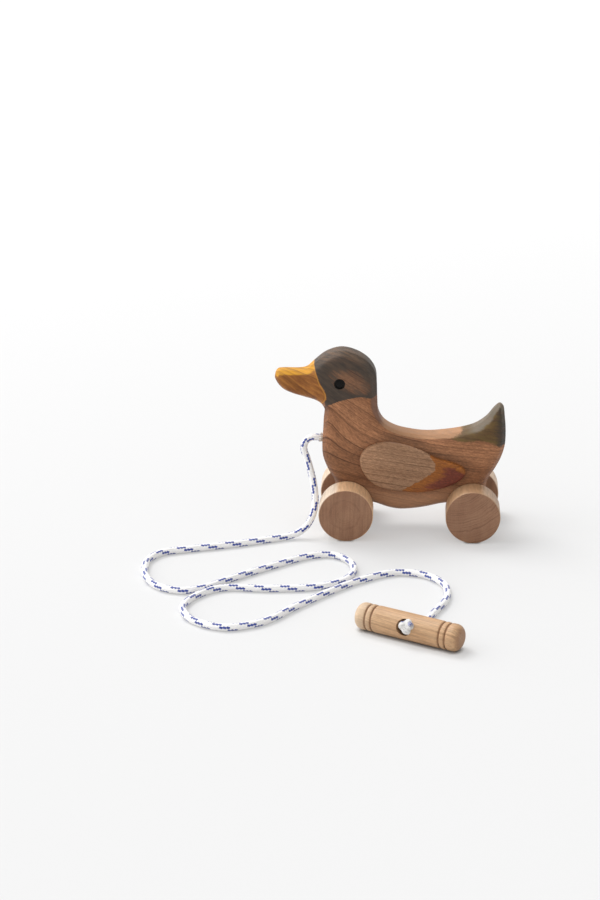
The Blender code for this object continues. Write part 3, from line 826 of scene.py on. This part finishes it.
def wing_material():
    tree = Tree("wing_wood")
    x, y, z = tree.place()
    across = z + x * 0.15
    marks = grain(tree, x, y, across, 5.4, 2.0)
    field = tree.vector(x, y, across)
    pore = field.noise((5.0, 1.3, 0.6), detail=3.0, roughness=0.75).span(0.46, 0.68)
    colour = wood_colour(tree, marks, *WING_WOOD, line=0.9, fine=0.5, band=0.15, streak=0.22, fibre=0.24)
    colour = tree.blend(pore * 0.46, colour, WING_PORE)
    colour = tree.scaled(colour, x.span(-26.0, 16.0, 1.14, 0.95))
    strokes = field.noise((9.0, 6.0, 2.4), detail=4.0, roughness=0.6)
    tip = paint_mask(tree, "tip", tree.vector(x, y, z), 1.6, 0.35)
    below = (tree.attribute("upper") + (strokes - 0.5) * 5.0).span(2.5, 6.5)
    red = tree.attribute("tip") * below + (strokes - 0.5) * 15.0
    stain = tree.blend(strokes, *TIP_OCHRES)
    stain = tree.blend(red.span(4.0, 12.0), stain, TIP_RED)
    stain = tree.varied(stain, marks["fibre"], 0.3)
    stain = tree.blend(marks["line"] * 0.5, stain, TIP_LINE)
    stain = tree.blend(pore * 0.35, stain, TIP_PORE)
    colour = tree.blend(tip * 0.96, colour, stain)
    height = wood_height(marks) - pore * 0.8
    return tree.finish(colour, wood_roughness(marks, 0.5), 0.25, height, 0.16)


def wheel_rings(tree, x, z, pith, spacing):
    """Growth rings of uneven width and strength about the pith."""
    out_x, out_z = x - pith[0], z - pith[1]
    radius = tree.math("SQRT", out_x * out_x + out_z * out_z)
    wobble = tree.vector(x, z, 0.0).noise((11.0, 11.0, 1.0))
    width = tree.vector(radius, 3.0, 0.0).noise((2.6 * spacing, 1.0, 1.0), detail=1.0)
    reach = radius + wobble * 3.2 + width * (3.0 * spacing)
    saw = tree.math("FRACT", reach / spacing)
    ring = saw.span(0.25, 0.9) * saw.fade(0.92, 1.0)
    strength = tree.vector(reach, 7.0, 0.0).noise((1.8 * spacing, 1.0, 1.0), detail=1.0)
    patch = tree.vector(x, z, 5.0).noise((13.0, 13.0, 1.0)).span(0.35, 0.65, 0.45, 1.0)
    return ring * strength.span(0.35, 0.65, 0.15, 1.0) * patch


def wheel_material(name, pith, spacing, rings, marks, sapwood):
    """End grain on the faces, rings about a pith that may lie off the wheel, and sapwood on the tread, with
    painted light on the treads of the lit wheels.
    """
    tree = Tree(name)
    x, y, z = tree.place()
    spot = tree.vector(x, y, z)
    broad = spot.noise((16.0, 40.0, 16.0))
    speck = spot.noise((0.9, 30.0, 0.9), roughness=0.7)
    streak = spot.noise((1.1, 12.0, 1.1), detail=3.0, roughness=0.65)
    face = tree.blend(broad.stretched(), *WHEEL_FACES)
    ring = wheel_rings(tree, x, z, pith, spacing) * rings
    face = tree.blend(ring, face, WHEEL_RING)
    sawn = spot.noise((1.6, 60.0, 26.0), detail=3.0)
    face = tree.varied(face, sawn.stretched(), marks)
    face = tree.varied(face, speck.span(0.2, 0.8), 0.10)
    side, tread_painted_light = sapwood
    tread = tree.blend(broad.stretched(), *WHEEL_TREADS)
    # Painted light on the tread, strong on the lit front wheel and faint on the shaded rear one; the sapwood
    # follows it
    tread = tree.blend(tread_painted_light, tread, TREAD_PAINTED_HIGHLIGHT)
    outward = x * side + (streak - 0.5) * 9.0
    pale = outward.span(5.5, 11.0) * min(1.2 * tread_painted_light + 0.1, 1.0)
    tread = tree.blend(pale, tread, SAPWOOD)
    tread = tree.varied(tread, streak.stretched(), 0.15)
    colour = tree.blend(tree.attribute("tread"), face, tread)
    height = speck * 0.6 + streak * 0.5
    return tree.finish(colour, speck * 0.15 + 0.4, 0.40, height, 0.08)


def handle_material():
    """Turned bar with streaks and short pores along it, a painted highlight at its far end, and end grain at
    both ends, darkened further by painted shade at its near end.
    """
    tree = Tree("handle_wood")
    x, y, z = (tree.attribute(name) for name in ("bar_x", "bar_y", "bar_z"))
    across = z + x * 0.05 + y * 0.6
    field = tree.vector(x, y, across)
    marks = grain(tree, x, y, across, 4.6, 3.0)
    colour = wood_colour(tree, marks, *HANDLE_WOOD, line=0.28, fine=0.34, band=0.12, streak=0.16, fibre=0.08)
    streak = field.noise((55.0, 2.2, 1.3), detail=4.0, roughness=0.65)
    colour = tree.varied(colour, streak.stretched(), 0.20)
    pore = field.noise((6.5, 0.7, 0.5)).span(0.55, 0.72)
    colour = tree.blend(pore * 0.4, colour, HANDLE_PORE)
    # Painted highlight towards the far end
    colour = tree.blend(x.span(-46.0, -24.0, 0.5, 0.0), colour, HANDLE_FAR_PAINTED_HIGHLIGHT)
    ring = tree.vector(x, y, z).noise((6.0, 1.4, 1.4))
    end = tree.varied(HANDLE_END, ring, 0.35)
    # End grain at both ends, darkened more at the near end as painted shade
    colour = tree.blend(tree.attribute("end") * x.span(-10.0, 10.0, 0.1, 0.7), colour, end)
    colour = tree.blend(tree.attribute("groove") * 0.7, colour, GROOVE_BROWN)
    height = wood_height(marks) - pore * 0.5
    return tree.finish(colour, wood_roughness(marks, 0.4), 0.35, height, 0.06)


def axle_material():
    tree = Tree("axle_dowel")
    x, y, z = tree.place()
    marks = grain(tree, y, x, z, 2.6, 0.8)
    colour = wood_colour(tree, marks, *AXLE_WOOD)
    return tree.finish(colour, wood_roughness(marks, 0.5), 0.3, wood_height(marks), 0.08)


def stitches(around, along, floor):
    """Place across and along a stitch, the stitch's number in its row, and its bulge.

    Takes shares of a turn and lengths along the cord, as arrays or as a material's Values, and their floor.
    """
    rows = around * float(BRAID_ROWS)
    row = floor(rows)
    side = rows - row - 0.5
    turn = along / BRAID_PERIOD - (row * BRAID_ROW_SHIFT + BRAID_PHASE)
    stitch = turn * float(BRAID_STITCHES) + side * BRAID_SLANT
    number = floor(stitch)
    within = stitch - number - 0.5
    return side, within, number, 1.0 - (side * side * STITCH_FALL + within * within * STITCH_FALL)


def marker_yarn(tree, colour, fuzz, side, within, number):
    """Blue bars on a few stitches of each turn, which step from row to row."""
    in_turn = tree.math("FLOORED_MODULO", number, float(BRAID_STITCHES))
    blue = tree.math("LESS_THAN", in_turn, BLUE_STITCHES - 0.5)
    bar = abs(side + within * BLUE_TILT).fade(0.3, 0.38) * abs(within).span(0.42, 0.5, 1.0, 0.95)
    return tree.blend(blue * bar, colour, tree.blend(fuzz.stretched(), *BRAID_BLUES))


def braid_material(name, marked):
    """Solid braid of slanted white stitches, with marker yarn on the cord and ink spots on the knot."""
    tree = Tree(name)
    side, within, number, bulge = stitches(*tree.surface("braid"), math.floor)
    fuzz = tree.vector(*tree.place()).noise((0.6, 0.6, 0.6))
    # Whites darker between the stitches as painted shade, and darker on the knot as painted shade in the
    # counterbore
    colour = tree.blend(bulge.span(-0.2, 0.5), *(BRAID_WHITES if marked else KNOT_WHITES_PAINTED_SHADE))
    if marked:
        colour = marker_yarn(tree, colour, fuzz, side, within, number)
    else:
        colour = tree.blend(tree.attribute("inked") * fuzz.span(0.35, 0.5), colour, KNOT_BLUE)
    yarn = tree.math("SINE", (side + within * 0.3) * 30.0)
    height = bulge + yarn * 0.08 + fuzz * (0.2 if marked else 1.2)
    tree.shader.inputs["Sheen Weight"].default_value = 0.5
    tree.shader.inputs["Sheen Roughness"].default_value = 0.6
    return tree.finish(colour, fuzz.span(0.2, 0.8, 0.75, 0.9), 0.15, height, 0.12 if marked else 0.3)


def fray_material():
    tree = Tree("frayed_yarn")
    tint = tree.vector(*tree.place()).noise((1.0, 1.0, 1.0))
    colour = tree.blend(tint, *FRAY_YARNS)
    return tree.finish(colour, tint.span(0.2, 0.8, 0.7, 0.9), 0.15, tint, 0.05)


def seen_directly(tree):
    """1 for the rays by which the camera sees a surface, directly, mirrored or through glass, and else 0."""
    path = tree.nodes.new("ShaderNodeLightPath")
    seen = Value(tree, path.outputs["Is Camera Ray"])
    for ray in ("Is Glossy Ray", "Is Transmission Ray"):
        seen = tree.math("MAXIMUM", seen, Value(tree, path.outputs[ray]))
    return seen


def contact_shade(tree, x, y):
    """1 on open floor, and less where a wheel or the handle stands close above it, which paints a contact
    shadow into the floor's glow.
    """
    front, rear = (abs(x - axle).fade(*WHEEL_CONTACT_X) for axle in (FRONT_AXLE_X, REAR_AXLE_X))
    wheels = (front + rear) * abs(y).fade(*WHEEL_CONTACT_Y)
    off_x, off_y = x - HANDLE_AT[0], y - HANDLE_AT[1]
    cos, sin = math.cos(HANDLE_YAW), math.sin(HANDLE_YAW)
    handle = abs(off_x * cos + off_y * sin).fade(*HANDLE_CONTACT_X)
    handle = handle * abs(off_y * cos - off_x * sin).fade(*HANDLE_CONTACT_Y)
    open_share = tree.made("ShaderNodeAmbientOcclusion", {"Distance": CONTACT_REACH * MM}, "AO", samples=4)
    return 1.0 - (wheels + handle) * (1.0 - open_share.span(0.25, 0.95))


def floor_material():
    """Pale floor whose shadows the camera sees lightened, as on an overlit white sheet."""
    tree = Tree("studio_floor")
    x, y = tree.place()[:2]
    away = (y - x * 0.6).span(*FLOOR_DEPTHS)
    tree.finish(tree.blend(away, *FLOOR_GREYS), 0.9, 0.0)
    glow = {"Color": tree.blend(away, *GLOW_GREYS), "Strength": contact_shade(tree, x, y)}
    glow = tree.made("ShaderNodeEmission", glow)
    plain = Value(tree, tree.shader.outputs[0])
    mixed = tree.made("ShaderNodeMixShader", {0: seen_directly(tree) * FLOOR_GLOW, 1: plain, 2: glow})
    tree.put(tree.nodes["Material Output"].inputs["Surface"], mixed)
    return tree.owner


def mark_body(body, loop):
    """Gives the body the distances and slopes that its wood, its paint and its painted light and shade
    follow.
    """
    points = side_points(body)
    for name, area in (("head", HEAD_PAINT), ("beak", BEAK_PAINT), ("tail", TAIL_PAINT)):
        give_attribute(body, name, depth_inside(points, np.array(area)))
    wing = smooth_path(WING_OUTLINE, OUTLINE_STEP, closed=True) + np.array((0.0, AXLE_Z + WING_SHADE_RISE))
    give_attribute(body, "beside_wing", np.maximum(-depth_inside(points, wing), 0.0))
    edge_x, edge_z = np.transpose(TAIL_REAR_EDGE)
    give_attribute(body, "rear", np.interp(points[:, 1], edge_z, edge_x) - points[:, 0])
    give_attribute(body, "upward", [v.normal.z for v in body.data.vertices])
    give_attribute(body, "rearward", [v.normal.x for v in body.data.vertices])
    drop = np.array((0.0, AXLE_Z))
    reach = edge_distance(points, loop + drop) / body_half_thickness(points - drop)[1]
    give_attribute(body, "facet", reach / facet_share(points - drop))


def body_piece():
    """The sawn and carved board, with its eyes, axle bores and cord socket."""
    drawn = [*UPPER_OUTLINE, *leg_arc(REAR_AXLE_X, REAR_LEG_ANGLES), *BELLY_OUTLINE,
             *leg_arc(FRONT_AXLE_X, FRONT_LEG_ANGLES)]
    loop = smooth_path(drawn, OUTLINE_STEP, closed=True)
    flat, distance, triangles, order = faced_outline(loop, BODY_ROUNDOVER, rings=10, grid=4.0)
    half, roundover = body_half_thickness(flat)
    side = half - roundover + carved(distance, roundover, facet_share(flat))
    flat = flat + np.array((0.0, AXLE_Z))
    body = add_piece("duck_body", stand_up(flat, -side, side, triangles, order, bands=4))
    eye = ((-EYE_DEPTH, EYE_RADIUS), (EYE_DEPTH, EYE_RADIUS), (EYE_DEPTH + EYE_POINT, EYE_POINT_RADIUS))
    bore = ((-2 * BODY_SIDE, AXLE_BORE_RADIUS), (2 * BODY_SIDE, AXLE_BORE_RADIUS))
    socket = ((-SOCKET_DEPTH, SOCKET_RADIUS), (SOCKET_DEPTH, SOCKET_RADIUS))
    eye_z = AXLE_Z + EYE_AT[1]
    drill(body, (
        (eye, placed(EYE_AT[0], -BODY_SIDE, eye_z)),
        (eye, placed(EYE_AT[0], BODY_SIDE, eye_z, Matrix.Rotation(math.pi, 4, "Z"))),
        (bore, placed(FRONT_AXLE_X, 0, AXLE_Z)),
        (bore, placed(REAR_AXLE_X, 0, AXLE_Z)),
        (socket, placed(SOCKET_AT[0], 0, AXLE_Z + SOCKET_AT[1], Matrix.Rotation(math.pi / 2, 4, "Z"))),
    ))
    mark_body(body, loop)
    body.data.materials.append(body_material())
    body.data.materials.append(eye_material())
    points = side_points(body)
    off_eye = np.hypot(points[:, 0] - EYE_AT[0], points[:, 1] - eye_z)
    for face in body.data.polygons:
        if all(off_eye[v] < EYE_RADIUS + EYE_MARGIN for v in face.vertices):
            face.material_index = 1
    return body


def wing_piece(name, side):
    loop = smooth_path(WING_OUTLINE, OUTLINE_STEP, closed=True)
    flat, distance, triangles, order = faced_outline(loop, WING_ROUNDOVER, rings=7, grid=3.0)
    seat = BODY_SIDE + WING_SEAT_GAP
    face = seat + WING_THICKNESS - WING_ROUNDOVER + rounded(distance, WING_ROUNDOVER)
    back = np.full(len(flat), seat)
    near, far = (-face, -back) if side < 0 else (back, face)
    flat = flat + np.array((0.0, AXLE_Z))
    wing = add_piece(name, stand_up(flat, near, far, triangles, order, bands=2))
    points = side_points(wing)
    give_attribute(wing, "tip", depth_inside(points, np.array(WING_PAINT)))
    edge_x, edge_z = np.transpose(WING_UPPER_EDGE)
    give_attribute(wing, "upper", np.interp(points[:, 0], edge_x, edge_z + AXLE_Z) - points[:, 1])
    return wing


def wheel_piece(name, x, side, material):
    """A wheel about its own centre, with a blind bore for the axle."""
    half = WHEEL_WIDTH / 2
    ease = WHEEL_EDGE_RADIUS
    turns = [math.pi / 2 * k / WHEEL_EDGE_STEPS for k in range(WHEEL_EDGE_STEPS + 1)]
    corner = [(ease * (1 - math.cos(t)), ease * (1 - math.sin(t))) for t in turns]
    profile = [(-half + WHEEL_BORE_DEPTH, WHEEL_BORE_RADIUS), (-half, WHEEL_BORE_RADIUS)]
    profile += [(-half, radius) for radius in WHEEL_FACE_RINGS]
    profile += [(-half + inset, WHEEL_RADIUS - drop) for inset, drop in corner]
    profile += [(along, WHEEL_RADIUS) for along in WHEEL_TREAD_RINGS]
    profile += [(half - inset, WHEEL_RADIUS - drop) for inset, drop in reversed(corner)]
    profile += [(half, radius) for radius in (*reversed(WHEEL_FACE_RINGS), *WHEEL_CENTRE_RINGS)]
    wheel = add_piece(name, turned([(side * along, radius) for along, radius in profile], WHEEL_SIDES))
    wheel.location = Vector((x, side * (WHEEL_INNER_Y + half), AXLE_Z)) * MM
    out = [math.hypot(v.co.x, v.co.z) / MM for v in wheel.data.vertices]
    give_attribute(wheel, "tread", smoothstep((np.array(out) - WHEEL_RADIUS + TREAD_START) / TREAD_FADE))
    wheel.data.materials.append(material)
    return wheel


def handle_frame():
    """Matrix of the handle: its length along local X, its bore along local Y with the knot at -Y."""
    turn = Matrix.Rotation(HANDLE_YAW, 4, "Z") @ Matrix.Rotation(HANDLE_ROLL, 4, "X")
    return placed(*HANDLE_AT, HANDLE_RADIUS, turn)


def handle_radius(along):
    """Radius of the turned bar at a distance from its middle, with eased shoulders beside each groove."""
    radius = HANDLE_RADIUS
    for inset in GROOVE_INSETS:
        off = abs(along - (HANDLE_LENGTH / 2 - inset)) / (GROOVE_WIDTH / 2)
        if off < 1.0:
            radius = min(radius, HANDLE_RADIUS - SHOULDER_DROP - GROOVE_DEPTH * (1 - off * off) ** 0.8)
        else:
            radius = min(radius, HANDLE_RADIUS - SHOULDER_DROP * math.exp(SHOULDER_FALL * (1.0 - off)))
    return radius


def handle_piece():
    half = HANDLE_LENGTH / 2
    end = HANDLE_END_RADIUS
    steps = [math.pi / 2 * k / HANDLE_END_STEPS for k in range(HANDLE_END_STEPS)]
    right = [(half, radius) for radius in HANDLE_END_RINGS]
    right += [(half - end + end * math.cos(t), HANDLE_RADIUS - end + end * math.sin(t)) for t in steps]
    grooved = np.arange(half - end, half - HANDLE_TURNED_INSET, -HANDLE_TURNED_STEP)
    right += [(along, handle_radius(along)) for along in grooved]
    right += [(along, HANDLE_RADIUS) for along in HANDLE_BAR_RINGS]
    profile = right + [(0.0, HANDLE_RADIUS)] + [(-along, radius) for along, radius in reversed(right)]
    bm = turned(profile, HANDLE_SIDES)
    bmesh.ops.transform(bm, matrix=Matrix.Rotation(-math.pi / 2, 4, "Z"), verts=bm.verts)
    handle = add_piece("toggle_handle", bm)
    through = ((-2 * HANDLE_RADIUS, HANDLE_BORE_RADIUS), (2 * HANDLE_RADIUS, HANDLE_BORE_RADIUS))
    wide = ((-2 * HANDLE_RADIUS, COUNTERBORE_RADIUS), (-COUNTERBORE_SEAT, COUNTERBORE_RADIUS))
    drill(handle, ((through, Matrix.Identity(4)), (wide, Matrix.Identity(4))))
    places = np.array([v.co for v in handle.data.vertices]) / MM
    along = np.abs(places[:, 0])
    radius = np.hypot(places[:, 1], places[:, 2])
    start, fade = GROOVE_TINT
    sunk = smoothstep((HANDLE_RADIUS - start - radius) / fade)
    give_attribute(handle, "groove", sunk * (along < half - end))
    give_attribute(handle, "end", smoothstep((along - half + HANDLE_END_FADE) / HANDLE_END_FADE))
    for name, column in zip(("bar_x", "bar_y", "bar_z"), places.T):
        give_attribute(handle, name, column)
    handle.data.transform(handle_frame())
    handle.data.materials.append(handle_material())
    return handle


def cord_route():
    """The cord's own points from the bottom of the socket to the back of the knot."""
    socket_z = AXLE_Z + SOCKET_AT[1]
    start = (SOCKET_AT[0] + CORD_START_INSET, 0.0, socket_z)
    mouth = (SOCKET_AT[0], 0.0, socket_z)
    floor = [(x, y, CORD_FLOOR_Z) for x, y in CORD_FLOOR]
    to_handle = handle_frame()
    in_handle = [tuple(to_handle @ Vector((0, y * MM, 0)) / MM)
                 for y in (2 * HANDLE_RADIUS, HANDLE_RADIUS, -COUNTERBORE_SEAT)]
    return [start, mouth, *CORD_HANG, *floor, *in_handle]


def tube_shape(path, radii, turn=0.0):
    """Vertices and faces of a capped tube. The radii are one row for each point of the path."""
    count, sides = radii.shape
    ways = np.gradient(path, axis=0)
    ways /= np.linalg.norm(ways, axis=1)[:, None]
    across = np.cross(ways[0], (0.1, 1.0, 0.05))
    angles = 2 * math.pi * np.arange(sides) / sides + turn
    vertices = np.zeros((count, sides, 3))
    for i in range(count):
        across = across - ways[i] * (across @ ways[i])
        across /= np.linalg.norm(across)
        other = np.cross(ways[i], across)
        ring = np.cos(angles)[:, None] * across + np.sin(angles)[:, None] * other
        vertices[i] = path[i] + ring * radii[i][:, None]
    faces = []
    for i in range(count - 1):
        for j in range(sides):
            k = (j + 1) % sides
            faces.append((i * sides + j, i * sides + k, (i + 1) * sides + k, (i + 1) * sides + j))
    faces.append(tuple(reversed(range(sides))))
    faces.append(tuple(range((count - 1) * sides, count * sides)))
    return vertices.reshape(-1, 3), faces


def braid_map(stations, sides):
    """UV pairs of a tube's faces: the share of a turn, and the length along the cord."""
    pairs = []
    for near, far in zip(stations, stations[1:]):
        for j in range(sides):
            low, high = j / sides, (j + 1) / sides
            pairs += [(low, near), (high, near), (high, far), (low, far)]
    pairs += [(j / sides, stations[0]) for j in reversed(range(sides))]
    return pairs + [(j / sides, stations[-1]) for j in range(sides)]


def braided_piece(name, strands, sides, material):
    """Tubes with stitches in their surface, from each strand's path, stations, radii and turn."""
    tubes, pairs = [], []
    for path, stations, radii, turn in strands:
        bulge = stitches(np.arange(sides) / sides, stations[:, None], np.floor)[-1]
        swell = np.clip(bulge, 0.0, 1.0) - BRAID_LEVEL
        tubes.append(tube_shape(path, radii[:, None] + BRAID_RELIEF * swell, turn))
        pairs += braid_map(stations, sides)
    piece = tubes_piece(name, tubes, material)
    layer = piece.data.uv_layers.new(name="braid")
    layer.data.foreach_set("uv", np.array(pairs, np.float32).ravel())
    return piece


def knot_piece(white):
    """Stopper knot drawn tight in the counterbore, with its short end standing out, in the handle's frame."""
    turns = np.linspace(0.0, 2 * math.pi, KNOT_POINTS)
    x = KNOT_REACH * (np.sin(turns) + 2 * np.sin(2 * turns)) / 3
    z = KNOT_REACH * (np.cos(turns) - 2 * np.cos(2 * turns)) / 3
    y = -KNOT_LOBE * np.sin(3 * turns)
    cos, sin = math.cos(KNOT_TURN), math.sin(KNOT_TURN)
    loop = np.stack([x * cos - z * sin, y, x * sin + z * cos], axis=1)
    line, lengths = evenly_spaced(loop + np.array(KNOT_AT), KNOT_STEP)
    stub, stub_lengths = evenly_spaced(smooth_path(KNOT_END, KNOT_STEP, closed=False), KNOT_STEP)
    taper = KNOT_STRAND * np.interp(stub_lengths[-1] - stub_lengths, *KNOT_TAPER)
    strands = (
        (line, lengths, np.full(len(line), KNOT_STRAND), 0.0),
        (stub, stub_lengths, taper, KNOT_END_TURN),
    )
    knot = braided_piece("cord_knot", strands, KNOT_SIDES, white)
    points = np.array([v.co for v in knot.data.vertices]) / MM
    depths = [reach - np.linalg.norm(points - at, axis=1) for at, reach in KNOT_INK]
    give_attribute(knot, "inked", smoothstep(np.max(depths, axis=0) / KNOT_INK_FADE))
    knot.data.transform(handle_frame())
    return knot


def fray_piece():
    """Loose yarn ends round the cord where it leaves the breast."""
    chance = np.random.default_rng(FRAY_SEED)
    mouth = np.array((SOCKET_AT[0], 0.0, AXLE_Z + SOCKET_AT[1]))
    tubes = []
    for k in range(FRAY_COUNT):
        angle = 2 * math.pi * (k + chance.uniform(-FRAY_STRAY, FRAY_STRAY)) / FRAY_COUNT
        outward = np.array((0.0, math.cos(angle), math.sin(angle)))
        reach, curl = chance.uniform(*FRAY_REACH), chance.uniform(*FRAY_CURL)
        steps = np.linspace(0.0, 1.0, FRAY_POINTS)[:, None]
        path = mouth + outward * (FRAY_INSET + curl * np.sin(FRAY_BEND * steps)) + FRAY_WAY * reach * steps
        radii = np.repeat(np.linspace(*FRAY_RADII, FRAY_POINTS)[:, None], FRAY_SIDES, axis=1)
        tubes.append(tube_shape(path, radii))
    return tubes_piece("cord_fray", tubes, fray_material())


def studio_world():
    """Soft white light, brightest from the upper left on the camera's side, and a plain white background."""
    tree = Tree("studio", "worlds")
    way = tree.made("ShaderNodeTexCoord", {}, "Generated")
    source = tuple(Vector(SKY_FROM).normalized())
    toward = tree.made("ShaderNodeVectorMath", {0: way, 1: source}, "Value", operation="DOT_PRODUCT")
    level = toward.span(SKY_BACK, 1.0, SKY_LOW, SKY_HIGH)
    strength = tree.made("ShaderNodeMix", {"Factor": seen_directly(tree), "A": level, "B": 1.0}, "Result")
    background = tree.nodes["Background"]
    tree.put(background.inputs["Color"], (1.0, 1.0, 1.0))
    tree.put(background.inputs["Strength"], strength)
    return tree.owner


def camera_and_light():
    camera = bpy.data.cameras.new("photo_camera")
    camera.sensor_width = SENSOR
    camera.lens = FOCAL_PIXELS / PHOTO_HEIGHT * SENSOR
    camera.clip_end = CLIP_END * MM
    view = linked("photo_camera", camera)
    right, up = Vector(CAMERA_RIGHT), Vector(CAMERA_UP)
    turn = Matrix((right, up, right.cross(up))).transposed().to_4x4()
    view.matrix_world = placed(*CAMERA_AT, turn)
    bpy.context.scene.camera = view
    for name, (source, angle, strength) in LAMPS.items():
        sun = bpy.data.lights.new(name, "SUN")
        sun.angle = math.radians(angle)
        sun.energy = strength * math.pi
        linked(name, sun).rotation_euler = Vector(source).to_track_quat("Z", "Y").to_euler()
    bpy.context.scene.world = studio_world()
    bpy.context.scene.view_settings.view_transform = "Standard"


def floor_piece():
    bm = bmesh.new()
    bmesh.ops.create_grid(bm, x_segments=1, y_segments=1, size=FLOOR_SIZE)
    floor = add_piece("studio_floor", bm)
    floor.data.materials.append(floor_material())


camera_and_light()
floor_piece()

duck = body_piece()
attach(duck, "duck")
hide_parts("body")

wing_wood = wing_material()
for hand, side in (("left", -1), ("right", 1)):
    wing = wing_piece(f"{hand}_wing_board", side)
    wing.data.materials.append(wing_wood)
    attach(wing, "duck")
    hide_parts(f"{hand}_wing")

axle_wood = axle_material()
for end, x in (("front", FRONT_AXLE_X), ("rear", REAR_AXLE_X)):
    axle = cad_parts[f"{end}_axle"]
    axle.data.materials.clear()
    axle.data.materials.append(axle_wood)
    for hand, side in (("left", -1), ("right", 1)):
        name = f"{end}_{hand}"
        wood = wheel_material(f"{name}_wheel_wood", *WHEEL_GRAINS[name])
        wheel = wheel_piece(f"{name}_wheel_disc", x, side, wood)
        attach(wheel, f"{end}_wheelset")
        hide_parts(f"{name}_wheel")

handle = handle_piece()
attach(handle, "duck")
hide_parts("pull_handle")

marked_braid = braid_material("cord_braid", True)
white_braid = braid_material("knot_braid", False)
route, lengths = evenly_spaced(smooth_path(cord_route(), 1.0, closed=False), CORD_STEP)
strand = (route, lengths, np.full(len(route), CORD_RADIUS), BRAID_TURN)
cord = braided_piece("braided_cord", [strand], CORD_SIDES, marked_braid)

knot = knot_piece(white_braid)
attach(knot, "duck")
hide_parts("handle_knot")

fray = fray_piece()
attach(fray, "duck")

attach(cord, "duck")
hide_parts("pull_cord")
